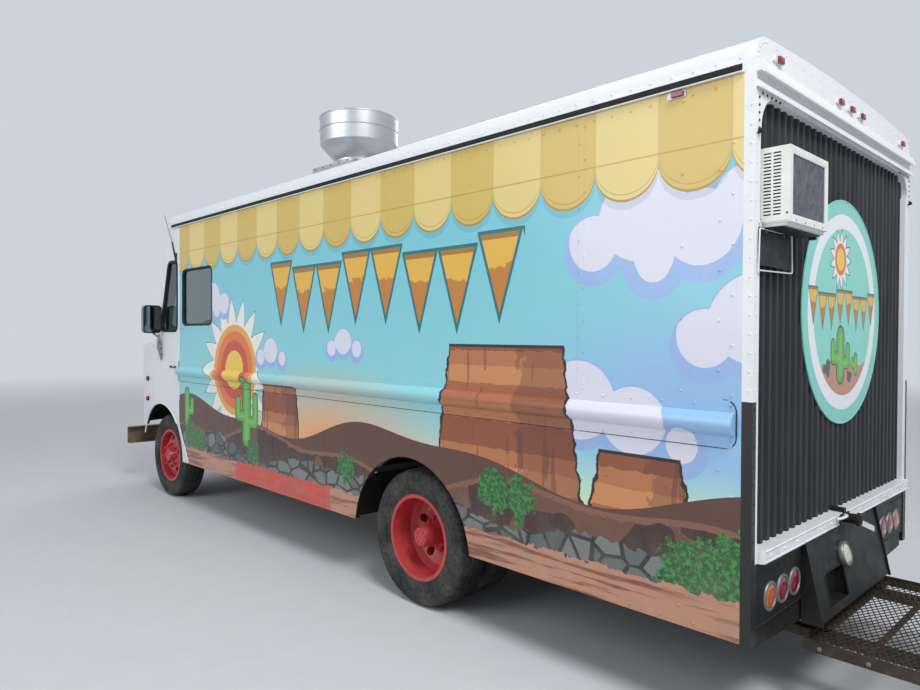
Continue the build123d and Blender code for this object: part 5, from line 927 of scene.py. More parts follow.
for z in (0.7585, 0.801):
    shapes.append(tube([(-1.015, sillY - 0.0005, z), (1.015, sillY - 0.0005, z)], 0.004, zAxis, 8))
shapes.append(rivets(np.arange(-0.97, 1.0, 0.138), sillY, 0.78, xAxis, yAxis))
makePiece("rear_trim", shapes, "corner")
makePiece("gusset_bolts", bolts, "castIron")
print("roof and rear frame trimmed")

# Lamps. Rear: centre x, lens material. Each lamp is a rim with a rolled edge and a domed lens in it.
lampWork = dict(z=0.588, rows=((0.895, "lensAmber"), (0.767, "lensRed"), (0.639, "lensRed")), markerZ=2.684,
                rim=((0.0490, -0.012), (0.0625, -0.001), (0.0625, 0.0025), (0.0598, 0.0066), (0.0550, 0.0082),
                     (0.0512, 0.0075), (0.0490, 0.004)),
                lens=((0, -0.02), (0.0490, -0.02), (0.0493, 0.002), (0.0440, 0.0066), (0.030, 0.0090),
                      (0.013, 0.0104), (0, 0.0107)),
                clearanceX=(0.885, 0.16, 0.0, -0.16, -0.885), clearanceZ=2.792,
                clearanceBase=((-0.046, -0.014), (0.04, -0.015), (0.04, 0.015), (-0.03, 0.015)),
                clearanceLens=((-0.014, -0.014), (0.036, -0.0145), (0.032, 0.0145), (-0.010, 0.0145)),
                stepRim=((0.048, 0.001), (0.061, 0.001), (0.061, 0.011), (0.059, 0.019), (0.0545, 0.023),
                         (0.050, 0.022), (0.048, 0.018)),
                stepLens=((0, 0.002), (0.0485, 0.002), (0.0485, 0.017), (0.040, 0.0222), (0.025, 0.0248),
                          (0, 0.0258)))
lenses = {"lensAmber": [], "lensRed": [], "lensClear": []}
rims, bases, markerZ = [], [], lampWork["markerZ"]
for side in (1, -1):
    for x, key in lampWork["rows"]:
        place = (side * x, panelY, lampWork["z"])
        rims.append(turned(lampWork["rim"], place, yAxis, 40, closed=True))
        lenses[key].append(turned(lampWork["lens"], place, yAxis, 40))
    bases.append(panel((0.088, 0.030, 0.006), 0.006, (side * halfWidth, 2.725, markerZ), yAxis * side, zAxis, 0.0015))
    place = (side * (halfWidth + 0.004), 2.725 + side * 0.008, markerZ)
    lenses["lensRed"].append(panel((0.058, 0.025, 0.006), 0.013, place, yAxis * side, zAxis, 0.004))
for x in lampWork["clearanceX"]:
    base, dome = (roundedPolygon(lampWork[key], 0.004) for key in ("clearanceBase", "clearanceLens"))
    bases.append(plate(base, 0.007, (x, rearY, lampWork["clearanceZ"]), -xAxis, zAxis, 0.0015))
    lenses["lensRed"].append(plate(dome, 0.019, (x, rearY + 0.001, lampWork["clearanceZ"]), -xAxis, zAxis, 0.005))
# The step box slopes: its face falls back by run over rise
slope = dict(run=0.076, rise=0.34, topY=3.140, topZ=0.388)
tilt = math.atan2(slope["run"], slope["rise"])
slopeOut, slopeUp = np.array([0, math.cos(tilt), math.sin(tilt)]), np.array([0, -math.sin(tilt), math.cos(tilt)])


def onSlope(x, z):
    # Point of the step box's sloped face
    return np.array([x, slope["topY"] - slope["run"] * (z - slope["topZ"]) / slope["rise"], z])


rims.append(turned(lampWork["stepRim"], onSlope(0.115, 0.605), slopeOut, 48, closed=True))
lenses["lensClear"].append(turned(lampWork["stepLens"], onSlope(0.115, 0.605), slopeOut, 48))
redLamps = makePiece("rear_lamp_lenses", lenses["lensRed"], "lensRed")
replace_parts(redLamps, "rear_lamps")
makePiece("rear_turn_lenses", lenses["lensAmber"], "lensAmber")
makePiece("reverse_lens", lenses["lensClear"], "lensClear")
makePiece("rear_lamp_rims", rims, "galvanised")
makePiece("marker_bases", bases, "whiteEnamel")

# Head lamps: bowl, domed glass, rolled rim; side markers in rubber cups. Profiles: (radius, forwards or outwards)
frontWork = dict(headX=0.590, headZ=0.985, markerY=-3.398, markerX=1.0803, markerZ=(0.982, 1.192),
                 head=dict(head_lamp_rims=((0.078, -0.02), (0.0915, -0.02), (0.0915, 0.002), (0.088, 0.0095),
                                           (0.082, 0.0115), (0.078, 0.007)),
                           head_lamp_bowls=((0, -0.056), (0.02, -0.054), (0.05, -0.04), (0.078, -0.004),
                                            (0.082, -0.004), (0.056, -0.048), (0, -0.060)),
                           head_lamp_lenses=((0, 0.0105), (0.03, 0.0098), (0.055, 0.0075), (0.078, 0.002),
                                             (0.078, -0.001), (0.05, 0.0045), (0, 0.0075))),
                 cup=((0, -0.012), (0.024, -0.012), (0.024, 0.006), (0.0205, 0.009), (0, 0.008)),
                 amber=((0, 0.007), (0.0205, 0.007), (0.0195, 0.013), (0.012, 0.0172), (0, 0.0178)))
for name, profile in frontWork["head"].items():
    shapes = [turned(profile, (side * frontWork["headX"], noseY, frontWork["headZ"]), -yAxis, 48, closed=True)
              for side in (1, -1)]
    piece = makePiece(name, shapes, "glass" if name == "head_lamp_lenses" else "brightSteel")
    if name == "head_lamp_rims":
        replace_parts(piece, "front_lamps")
for name, key, finish in (("side_marker_lenses", "amber", "lensAmber"), ("side_marker_cups", "cup", "sealRubber")):
    shapes = [turned(frontWork[key], (side * frontWork["markerX"], frontWork["markerY"], z), xAxis * side, 28)
              for side in (1, -1) for z in frontWork["markerZ"]]
    makePiece(name, shapes, finish)
print("lamps fitted")

# Tyres: a section (across, radius) turned round the axle. Groove edges zigzag with the turn, and the
# shoulder drops in short sipes, so the radius is a function of turn and station.
tyreWork = dict(columns=256, zigzag=0.0028, zigzagCount=64, sipeEvery=4, sipeDepth=0.0055,
                side=((0.0845, 0.2502), (0.0925, 0.2600), (0.1005, 0.2740), (0.1065, 0.2930), (0.1083, 0.2960),
                      (0.1100, 0.2990), (0.1102, 0.3020), (0.1108, 0.3180), (0.1118, 0.3350), (0.1116, 0.3500),
                      (0.1120, 0.3520), (0.1112, 0.3545), (0.1092, 0.3700), (0.1068, 0.3840), (0.1042, 0.3935),
                      (0.1010, 0.4010), (0.0930, 0.4080), (0.0850, 0.4120), (0.0700, 0.4150)),
                tread=((0.0480, 0.4162, 1), (0.0455, 0.4070, 1), (0.0385, 0.4070, 1), (0.0360, 0.4163, 1),
                       (0.0100, 0.4165, 1), (0.0040, 0.4060, 1), (-0.0040, 0.4060, 1), (-0.0100, 0.4165, 1)))


def treadTyre(x, y, side):
    # Half the section is mirrored for the other side; the inside closes at the bead
    half, tread, columns = np.array(tyreWork["side"]), np.array(tyreWork["tread"]), tyreWork["columns"]
    flank = np.c_[half, np.zeros(len(half))]
    section = np.concatenate([flank, tread, tread[:4][::-1] * (-1, 1, 1), flank[::-1] * (-1, 1, 1)])
    turn = np.arange(columns) * 2 * math.pi / columns
    wave = 4 * np.abs(turn / (2 * math.pi) * tyreWork["zigzagCount"] % 1 - 0.5) - 1
    across = section[:, None, 0] + tyreWork["zigzag"] * section[:, None, 2] * wave[None]
    low = (np.arange(columns) % tyreWork["sipeEvery"] == 0)[None]
    shoulder = ((np.abs(section[:, 0]) > 0.060) & (section[:, 1] > 0.388))[:, None]
    radius = section[:, None, 1] - tyreWork["sipeDepth"] * (low & shoulder)
    points = spread(x + side * across, y + radius * np.cos(turn), wheelZ + radius * np.sin(turn))
    return grid(points, wrapRows=True, wrapColumns=True)


for side, word in sides:
    front = makePiece("front_tread_" + word, treadTyre(side * frontX, frontAxleY, side), "tyre",
                      "wheel_front_" + word, sharp=30)
    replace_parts(front, "front_tyre_" + word)
    pair = [treadTyre(side * x, rearAxleY, side) for x in (rearX, 0.681)]
    rear = makePiece("rear_tread_" + word, pair, "tyre", "wheel_rear_" + word, sharp=30)
    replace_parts(rear, "rear_tyres_" + word)
print("tyres cut")

# Wheel nuts, hub bolts and valve stems: ring radius, face distance from the wheel's middle, count, shape
nut = turned([(0, 0), (0.0165, 0), (0.0165, 0.004), (0.0135, 0.005), (0.0135, 0.016), (0.011, 0.0185),
              (0.007, 0.0185), (0.0065, 0.027), (0, 0.027)], count=6)
hubBolt = turned([(0, 0), (0.0085, 0), (0.0085, 0.005), (0.0065, 0.0065), (0, 0.0065)], count=8)
wheelWork = dict(wheel_front=(frontX, frontAxleY, ((0.110, 0.0935, 8, nut), (0.044, 0.117, 8, hubBolt))),
                 wheel_rear=(rearX, rearAxleY, ((0.110, -0.0935, 8, nut), (0.040, 0.0735, 8, hubBolt))))
for body, (x, y, rings) in wheelWork.items():
    for side, word in sides:
        shapes = []
        for radius, face, count, shape in rings:
            turn = np.arange(count) * 2 * math.pi / count + 0.2
            places = spread(side * (x + face), y + radius * np.cos(turn), wheelZ + radius * np.sin(turn))
            shapes.append(copies(shape, places, yAxis, xAxis * side))
        stem = bezier([(side * (x + 0.06), y + 0.10, wheelZ + 0.205), (side * (x + 0.085), y + 0.10, wheelZ + 0.21),
                       (side * (x + 0.088), y + 0.096, wheelZ + 0.185)], 8)
        shapes.append(tube(stem, 0.0042, yAxis, 8))
        makePiece(body + "_nuts_" + word, shapes, "wheelEnamel", body + "_" + word)

# Windows: rubber carried round each pane's outline. Profile: (outwards from the outline, up from the skin)
sealProfile = [(-0.014, -0.016), (-0.012, 0.002), (-0.005, 0.0075), (0.006, 0.0085), (0.015, 0.005), (0.018, -0.001)]


def framed(outline, origin, right, up, profile=sealProfile):
    # The profile's up axis is the pane's outward normal, and the path runs counter-clockwise, so across is outwards
    right, up = np.asarray(right, float), np.asarray(up, float)
    path = np.asarray(origin) + np.asarray(outline) @ np.stack([right, up])
    return carried(profile, path, np.cross(right, up), closed=True)


screen = dict(middle=(0, -3.101, 2.140), run=0.354, rise=1.130)
lean = math.atan2(screen["run"], screen["rise"])
screenMid = np.array(screen["middle"])
screenUp, screenOut = np.array([0, math.sin(lean), math.cos(lean)]), np.array([0, -math.cos(lean), math.sin(lean)])
quarter = roundedPolygon([(-3.018, 1.70), (-2.596, 1.70), (-2.596, 2.372), (-2.808, 2.372)], 0.055, 6)
seals = [framed(roundedBox(0.88, 0.83, 0.07, 7), screenMid + xAxis * side * 0.47 - screenUp * 0.010, xAxis, screenUp)
         for side in (1, -1)]
seals.append(framed(quarter, (halfWidth, 0, 0), yAxis, zAxis))
seals.append(framed((quarter * (-1, 1))[::-1], (-halfWidth, 0, 0), -yAxis, zAxis))
makePiece("window_seals", seals, "sealRubber")
entrySeal = framed(roundedBox(0.43, 0.72, 0.06, 6), (-1.039, -2.038, 1.92), -yAxis, zAxis,
                   [(-0.012, -0.01), (-0.011, 0.001), (0.004, 0.002), (0.012, 0.0006)])
makePiece("entry_window_seal", entrySeal, "sealRubber", "entry_door")
# Driver's window: dark frame with a top rail and a front post, and a bright sill
sash = [framed(roundedBox(0.649, 0.532, 0.06, 6), (halfWidth, -2.1445, 2.014), yAxis, zAxis,
               [(-0.014, -0.03), (-0.014, 0.001), (-0.010, 0.004), (0.003, 0.004), (0.006, 0.0)]),
        block((1.058, -2.462, 2.262), (1.070, -1.828, 2.272), 0.002),
        block((1.060, -2.462, 1.80), (1.068, -2.440, 2.24), 0.003)]
makePiece("driver_window_frame", sash, "blackPlastic")
rails = [block((1.062, -2.455, 1.7505), (1.0846, -1.834, 1.7585), 0.002),
         block((1.060, -2.450, 1.7585), (1.066, -1.840, 1.7665), 0.001)]
makePiece("driver_window_sill", rails, "brightSteel")
print("windows sealed")

# Cab: trim strip over the joint with the side, arch lip, handle, wipers, aerial, hood catches, grille mesh
cabWork = dict(lipRadius=0.540, lipTube=0.007, seamY=-2.5585, handleY=-2.700, handleZ=1.339, handleReach=1.112,
               stepY=(-2.560, -2.548, -2.428, -2.334), stepZ=(1.018, 0.776, 0.594, 0.44),
               strip=((-0.016, -0.001), (0.016, -0.001), (0.013, 0.003), (-0.013, 0.003)),
               hub=((0, -0.012), (0.016, -0.012), (0.016, 0.008), (0.010, 0.014), (0, 0.014)),
               blade=((-0.004, -0.007), (0.004, -0.007), (0.002, 0.006), (-0.002, 0.006)))
strips, dark = [], []
y, z, reach, radius = (cabWork[key] for key in ("handleY", "handleZ", "handleReach", "lipRadius"))
for side in (1, -1):
    seam = [(side * halfWidth, cabWork["seamY"], high) for high in (1.02, 2.704)]
    strips.append(carried(cabWork["strip"], seam, xAxis * side))
    start = math.asin((0.60 - wheelZ) / 0.542)
    sweep = np.linspace(math.pi - start * 1.05, 0.75, 40)
    arch = spread(side * (halfWidth - 0.001), frontAxleY + radius * np.cos(sweep), wheelZ + radius * np.sin(sweep))
    arch[:, 0] -= side * np.interp(-arch[:, 1], (3.173, 3.508), (0, 0.022))
    strips.append(tube(arch, cabWork["lipTube"], yAxis * 0.2 + zAxis * 0.1 + xAxis))
    t, marks = np.linspace(0, 1, 20), (0, 0.35, 0.7, 1)
    path = spread(side * (halfWidth + 0.001), np.interp(t, marks, cabWork["stepY"]),
                  np.interp(t, marks, cabWork["stepZ"]))
    strips.append(tube(path, 0.005, xAxis))
    grip = bezier([(side * 1.086, y - 0.055, z), (side * reach, y - 0.05, z + 0.002), (side * reach, y + 0.05, z),
                   (side * 1.086, y + 0.055, z - 0.002)], 12)
    dark.append(carried(circle(0.009, 10, 0.6), grip, zAxis))
    dark += [panel((0.032, 0.026, 0.006), 0.004, (side * halfWidth, y + end * 0.055, z), yAxis * side, zAxis, 0.001)
             for end in (-1, 1)]
makePiece("cab_trim", strips, "whiteEnamel")
for side in (1, -1):
    pivot = screenMid + xAxis * side * 0.18 - screenUp * 0.445 + screenOut * 0.012
    tip = pivot + xAxis * side * 0.20 + screenUp * 0.36 + screenOut * 0.010
    dark.append(turned(cabWork["hub"], pivot, screenOut, 16))
    dark.append(carried(circle(0.005, 8, 0.6), np.linspace(pivot, tip, 6), screenOut))
    blade = np.linspace(tip - screenUp * 0.20, tip + screenUp * 0.20, 8) - screenOut * 0.006
    dark.append(carried(cabWork["blade"], blade, screenOut))
makePiece("wipers_and_handles", dark, "blackPlastic")
foot, top = np.array([1.088, -2.640, 2.455]), np.array([1.104, -2.865, 2.850])
aerial = [tube(bezier([foot, foot * 0.5 + top * 0.5 + (0.004, 0, 0), top], 14), 0.0024, xAxis, 8),
          tube(np.linspace(foot - (0, 0, 0.05), foot + (top - foot) * 0.30, 5), 0.006, xAxis, 10),
          panel((0.05, 0.09, 0.01), 0.006, (halfWidth, -2.622, 2.41), yAxis, zAxis, 0.0015),
          tube([(1.083, -2.622, 2.375), (1.104, -2.60, 2.365)], 0.0045, zAxis, 8)]
makePiece("whip_aerial", aerial, "blackPlastic")
catches = []
for x in (-0.30, 0.30):
    catches.append(panel((0.034, 0.10, 0.008), 0.008, (x, noseY, 1.215), xAxis, zAxis, 0.002))
    catches.append(turned([(0, 0), (0.013, 0), (0.012, 0.008), (0, 0.010)], (x, noseY - 0.008, 1.20), -yAxis, 14))
makePiece("hood_catches", catches, "blackPlastic")
meshWork = dict(wire=0.0022, rowY=noseY + 0.019, columnY=noseY + 0.021)
wires = [tube([(-0.38, meshWork["rowY"], z), (0.38, meshWork["rowY"], z)], meshWork["wire"], zAxis, 6)
         for z in np.linspace(0.83, 1.14, 15)]
wires += [tube([(x, meshWork["columnY"], 0.82), (x, meshWork["columnY"], 1.15)], meshWork["wire"], yAxis, 6)
          for x in np.linspace(-0.37, 0.37, 34)]
makePiece("grille_mesh", wires, "galvanised")

# Mirrors: silvered glass in a rubber lip, clamp and bolts on the leaf bracket
mirrorWork = dict(place=(1.193, -2.946, 1.812), clampPlace=(1.17, -2.978, 1.69), boltPlace=(1.10, -2.942, 1.46),
                  lip=((-0.006, -0.002), (-0.006, 0.004), (0.0, 0.006), (0.005, 0.002), (0.006, -0.004)),
                  clamp=((0, -0.02), (0.016, -0.02), (0.018, -0.006), (0.018, 0.006), (0.016, 0.02), (0, 0.02)),
                  bolt=((0, 0), (0.008, 0), (0.007, 0.005), (0, 0.005)))
panes, lips, clamps = [], [], []
for side in (1, -1):
    mirrored = np.array([side, 1, 1])
    place = mirrorWork["place"] * mirrored
    panes.append(panel((0.158, 0.260, 0.028, 6), 0.002, place, -xAxis, zAxis, 0.0005))
    lips.append(framed(roundedBox(0.166, 0.268, 0.031, 6), place, -xAxis, zAxis, mirrorWork["lip"]))
    clamps.append(turned(mirrorWork["clamp"], mirrorWork["clampPlace"] * mirrored, zAxis, 18))
    places = [(mirrorWork["boltPlace"] + np.array([0.012, 0, 0.06]) * k) * mirrored for k in range(3)]
    clamps += [turned(mirrorWork["bolt"], spot, yAxis, 6) for spot in places]
makePiece("mirror_glass", panes, "mirror")
makePiece("mirror_lips", lips, "sealRubber")
makePiece("mirror_clamps", clamps, "blackPlastic")
print("cab trimmed")

# Exhaust fan: rolled rim, pressed rings, curb flange and screws
fanWork = dict(x=0.405, y=-0.530, screwReach=0.2985, flangeReach=0.276)
fanX, fanY, reach = fanWork["x"], fanWork["y"], fanWork["flangeReach"]
fanPlace = np.array([fanX, fanY, 0.0])
fanRings = [turned(profile, fanPlace, zAxis, count, closed=True) for profile, count in (
    (circle(0.008, 10) + (0.3165, 3.434), 72), (circle(0.005, 8, 0.7) + (0.3185, 3.330), 72),
    ([(0.1975, 3.034), (0.215, 3.034), (0.215, 3.040), (0.1985, 3.052)], 64),
    ([(0, 3.436), (0.05, 3.4355), (0.205, 3.412), (0.212, 3.404), (0, 3.42)], 64))]
fanRings.append(panel((0.552, 0.552, 0.01), 0.026, fanPlace + (0, 0, 3.010), xAxis, yAxis, 0.003))
turn = np.linspace(0, 2 * math.pi, 12, endpoint=False)
out, along = spread(np.cos(turn), np.sin(turn), 0.0), spread(-np.sin(turn), np.cos(turn), 0.0)
fanRings.append(copies(head, fanPlace + (0, 0, 3.205) + fanWork["screwReach"] * out, along, out, 1.2))
makePiece("fan_rings", fanRings, "spunAluminium")
flashing = panel((0.62, 0.62, 0.03), 0.012, fanPlace + (0, 0, 2.868), xAxis, yAxis, 0.003)
makePiece("fan_flashing", flashing, "galvanised")
screws, off = [], np.linspace(-0.23, 0.23, 5)
for side in (1, -1):
    screws.append(rivets(fanX + off, fanY + side * reach, 3.022, xAxis, yAxis * side))
    screws.append(rivets(fanX + side * reach, fanY + off, 3.022, yAxis, xAxis * side))
makePiece("fan_screws", screws, "castIron")

# Air conditioner: fin coil in a raised frame, drain pan, tie bracket; plate frame of white wire
coolerWork = dict(low=(0.627, 3.037, 2.106), high=(1.031, 3.176, 2.402), fins=150, finRows=12, slots=19,
                  rim=((-0.016, -0.008), (-0.015, -0.001), (-0.010, 0.0), (0.008, 0.0), (0.0148, -0.006),
                       (0.0148, -0.010)))
acLow, acHigh = np.array(coolerWork["low"]), np.array(coolerWork["high"])
w, h = acHigh[0] - acLow[0], acHigh[2] - acLow[2]
middle = (acLow + acHigh) / 2
fins = [panel((w - 0.05, h - 0.05, 0.004), 0.003, (middle[0], 3.1655, middle[2] + 0.002), -xAxis, zAxis, 0.001)]
xs = np.linspace(acLow[0] + 0.03, acHigh[0] - 0.03, coolerWork["fins"])
shake = chance.normal(0, 0.0004, (coolerWork["fins"], coolerWork["finRows"])).cumsum(1)
zs = np.linspace(acLow[2] + 0.03, acHigh[2] - 0.028, coolerWork["finRows"])
points = spread((xs[:, None] + shake)[:, :, None] + np.array([0.0003, -0.0003, -0.0003, 0.0003]),
                3.1668 + np.array([0.0, 0.0, 0.004, 0.004]), zs[None, :, None])
fins += [grid(fin, wrapColumns=True, caps=True) for fin in points]
makePiece("cooler_coil", fins, "finCoil")
rim = [framed(roundedBox(w - 0.03, h - 0.03, 0.012), (middle[0], 3.1755, middle[2]), -xAxis, zAxis,
              coolerWork["rim"]),
       panel((w - 0.012, 0.116, 0.008), 0.016, (middle[0], 3.108, acLow[2] - 0.014), xAxis, yAxis, 0.003),
       block((acHigh[0] - 0.001, 3.066, acLow[2] + 0.006), (acHigh[0] + 0.0016, 3.172, acLow[2] + 0.026), 0.0005)]
makePiece("cooler_frame", rim, "caseEnamel")
# Painted shade in the slots of both sides: thin black strips at the bottom of each row stand in for their dark inside
count, dark = coolerWork["slots"], []
slotZs = middle[2] + 0.004 + (np.arange(count) - (count - 1) / 2) * (h - 0.056) / (count - 1)
strip = panel((0.0285, 0.0052, 0.0012), 0.0012, (0, 0, 0), xAxis, yAxis, 0.0003)
for x, side in ((acLow[0], -1), (acHigh[0], 1)):
    for column, depth in ((0.036, 0.0035), (0.074, 0.0012)):
        places = spread(x - side * (depth + 0.0012), acHigh[1] - 0.015 - column, slotZs)
        dark.append(copies(strip, places, yAxis * side, xAxis * side))
makePiece("cooler_slot_shade", dark, "sealRubber")
tray = [block((acLow[0] + 0.012, 3.060, acLow[2] - 0.020), (acHigh[0] - 0.012, 3.150, acLow[2] - 0.014), 0.002),
        panel((0.022, 0.03, 0.004), 0.05, (acLow[0] + 0.006, 3.118, acLow[2] - 0.030), xAxis, yAxis, 0.003)]
makePiece("cooler_tray", tray, "blackPlastic")
screws = [rivets(acHigh[0], 3.05 + 0.115 * np.arange(2), acLow[2] + 0.034, yAxis, xAxis, 0.8),
          rivets(acLow[0] + 0.06 + 0.094 * np.arange(4), acHigh[1] - 0.001, acLow[2] + 0.009, xAxis, yAxis, 0.7)]
makePiece("cooler_screws", screws, "galvanised")
wireWork = dict(y=3.072, thick=0.0032, corners=((-0.168, -0.092), (0.168, -0.084), (0.160, 0.078), (-0.160, 0.074)))
y, thick = wireWork["y"], wireWork["thick"]
wires = [framed(roundedPolygon(wireWork["corners"], 0.012), (0.899, y, 2.012), -xAxis, zAxis, circle(thick, 8)),
         tube([(1.046, y, 2.092), (1.046, 3.066, 2.112), (1.040, 3.060, 2.118)], thick, xAxis, 8),
         tube([(0.752, y, 2.086), (0.752, 3.066, 2.112), (0.752, 3.060, 2.118)], thick, xAxis, 8)]
makePiece("plate_wire", wires, "whiteEnamel")
plateBolt = turned([(0, -0.004), (0.0065, 0.0), (0.006, 0.004), (0, 0.0045)], count=6)
makePiece("plate_bolts", copies(plateBolt, [(x, 3.066, 2.079) for x in (0.81, 0.988)], xAxis, yAxis), "galvanised")

# Sign: raised edge; latch strap and hasp; step box bolts and bracket; lower panel rivets
signRim = turned([(0.5585, -0.004), (0.5600, 0.0005), (0.5575, 0.0022), (0.552, 0.0012), (0.552, -0.002)],
                 (-0.02, 3.042, 1.784), yAxis, 96, closed=True)
makePiece("sign_edge", signRim, "sign")
latchWork = dict(place=(0.115, 3.0903, 0.784), capReach=0.078, grip=0.031, rings=(0.003, 0.008, 0.013),
                 strap=((-0.093, 0.7615), (-0.02, 0.7335), (0.1855, 0.6655), (0.1815, 0.6945), (-0.02, 0.7625),
                        (-0.093, 0.7905)), strapRadii=(0.004, 0.03, 0.006, 0.006, 0.03, 0.004))
latchX = latchWork["place"][0]
rings = [turned(circle(0.0022, 8) + (latchWork["grip"] - 0.0005, latchWork["capReach"] - along), latchWork["place"],
                yAxis, 40, closed=True) for along in latchWork["rings"]]
rings.append(turned([(0, 0.0775), (0.016, 0.0775), (0.018, 0.080), (0.010, 0.083), (0, 0.083)], latchWork["place"],
                    yAxis, 24))
makePiece("latch_rings", rings, "castIron")
hasp = bezier([(latchX + 0.022, 3.104, 0.800), (latchX + 0.045, 3.128, 0.806), (latchX + 0.085, 3.126, 0.800),
               (latchX + 0.112, 3.096, 0.793)], 14)
strap = roundedPolygon(latchWork["strap"], latchWork["strapRadii"], 4)
makePiece("latch_strap", [plate(strap, 0.0075, (0, 3.1377, 0.0), -xAxis, zAxis, 0.001),
                          carried(circle(0.009, 12, 0.75), hasp, zAxis),
                          panel((0.05, 0.036, 0.006), 0.004, (latchX + 0.108, 3.0895, 0.787), -xAxis, zAxis, 0.001)],
          "caseEnamel")
# Columns of fixings: side, step box edge, lower panel's posts
fixingWork = dict(columns=((1, 0.544, (1.022, 0.575)), (-1, -0.460, (-1.022, -0.488))), lean=0.9 * 0.22,
                  pocket=((-0.004, -0.006), (-0.003, 0.002), (0.004, 0.003), (0.007, -0.002)))
fixings = []
for side, boxX, panelXs in fixingWork["columns"]:
    zs = np.linspace(0.41, 0.71, 5)
    fixings.append(rivets(boxX, panelY + fixingWork["lean"] * (0.728 - zs), zs, yAxis, xAxis * side, 1.1))
    fixings += [rivets(x, panelY, np.arange(0.50, 0.75, 0.035), xAxis, yAxis, 0.7) for x in panelXs]
    fixings.append(block((boxX + side * 0.004, panelY, 0.40), (boxX + side * 0.012, 3.070, 0.64), 0.002))
    fixings.append(rivets(side * np.linspace(0.62, 1.0, 7), panelY, 0.700, xAxis, yAxis, 0.8))
fixings.append(tube([(-1.03, panelY + 0.0005, 0.494), (1.03, panelY + 0.0005, 0.494)], 0.003, zAxis, 8))
fixings.append(framed(roundedBox(0.246, 0.152, 0.012), onSlope(0.269, 0.4975), -xAxis, slopeUp, fixingWork["pocket"]))
makePiece("rear_fixings", fixings, "blackEnamel")
print("rear fitted")

# Deck: zigzag strands of expanded metal that touch at their bonds, in an angle frame on two arms
deckWork = dict(halfWidth=0.590, top=0.320, frontY=3.080, endY=4.0, longPitch=0.062, shortPitch=0.027, strand=0.0042,
                angle=((0, -0.040), (0, 0.012), (-0.006, 0.012), (-0.006, -0.006), (-0.048, -0.006),
                       (-0.048, -0.012), (-0.006, -0.012), (-0.006, -0.040)), crossYs=(3.32, 3.54, 3.76))
deckHalf, top, frontY, endY = (deckWork[key] for key in ("halfWidth", "top", "frontY", "endY"))
count = int(2 * (deckHalf - 0.008) / (deckWork["longPitch"] / 2))
xs = -deckHalf + 0.008 + np.arange(count + 1) * deckWork["longPitch"] / 2
middles = np.arange(frontY + 0.016, endY - 0.014, deckWork["shortPitch"] / 2)
flip = (-1.0) ** (np.arange(count + 1)[None, :] + np.arange(len(middles))[:, None])
y = middles[:, None] + flip * deckWork["shortPitch"] / 4
half = deckWork["strand"] / 2
corner = np.array([(-half, -0.004), (half, -0.0035), (half, 0.0), (-half, -0.0005)])
points = spread(xs[None, :, None], y[:, :, None] + corner[:, 0], top + corner[:, 1])
deckMesh = makePiece("deck_mesh", [grid(strand, wrapColumns=True, caps=True) for strand in points], "deckSteel")
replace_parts(deckMesh, "rear_deck")
angle, mirrored = np.array(deckWork["angle"]), np.array(deckWork["angle"]) * (-1, 1)
inner = deckHalf - 0.001
rails = [carried(profile, ends, zAxis) for profile, ends in (
    (angle, [(deckHalf, frontY, top), (deckHalf, endY, top)]),
    (mirrored, [(-deckHalf, frontY, top), (-deckHalf, endY, top)]),
    (angle, [(-inner, frontY, top), (inner, frontY, top)]), (mirrored, [(-inner, endY, top), (inner, endY, top)]))]
for side in (1, -1):
    rails.append(block((side * 0.362, 2.852, 0.268), (side * 0.422, endY - 0.006, 0.314), 0.004))
    rails.append(block((side * 0.362, 2.852, 0.268), (side * 0.422, 2.932, 0.5647), 0.004))
rails += [block((-deckHalf + 0.008, y - 0.012, 0.300), (deckHalf - 0.008, y + 0.012, 0.3155), 0.002)
          for y in deckWork["crossYs"]]
# Bolts along both side rails
deckBolt = turned([(0, 0), (0.011, 0), (0.011, 0.006), (0.008, 0.008), (0, 0.008)], count=6)
ys = np.linspace(frontY + 0.07, endY - 0.08, 5)
bolts = [copies(deckBolt, spread(side * deckHalf, ys, 0.302), yAxis, xAxis * side) for side in (1, -1)]
makePiece("deck_frame", rails, "deckSteel")
makePiece("deck_bolts", bolts, "galvanised")
print("deck built")

# Driver's seat: two pads blown up by cloth pressure over a pressed pedestal
seatWork = dict(voxel=0.008, steps=20, pressure=4.0, travel=0.012, squareSide=0.30, squareTop=0.62, pull=0.035,
                cushion=((0.560, -2.146, 1.296), (0.238, 0.226, 0.044)),
                back=((0.560, -1.905, 1.655), (0.236, 0.036, 0.288)), lean=0.18, x=0.560, y=-2.148)


def bent(value, power):
    # Sign kept, size raised to the power
    return np.sign(value) * np.abs(value) ** power


def padShape(middle, half, lean):
    # Superellipsoid: each axis is |cos| or |sin| to a power under one, its sides drawn in by pull * (1 - t * t);
    # back pads stand up and lean by shifting y with height
    u = np.linspace(-math.pi, math.pi, 72, endpoint=False)[None, :]
    v = np.linspace(-math.pi / 2, math.pi / 2, 30)[:, None]
    ring, rise = bent(np.cos(v), seatWork["squareTop"]), bent(np.sin(v), seatWork["squareTop"])
    x, other = bent(np.cos(u), seatWork["squareSide"]) * ring, bent(np.sin(u), seatWork["squareSide"]) * ring
    pull = seatWork["pull"]
    x, other = x * (1 - pull * (1 - other ** 2)), other * (1 - pull * (1 - x ** 2))
    points = (spread(x, rise, other) if lean else spread(x, other, rise)) * half
    points[..., 1] += lean * points[..., 2]
    return grid(points + middle, wrapColumns=True)


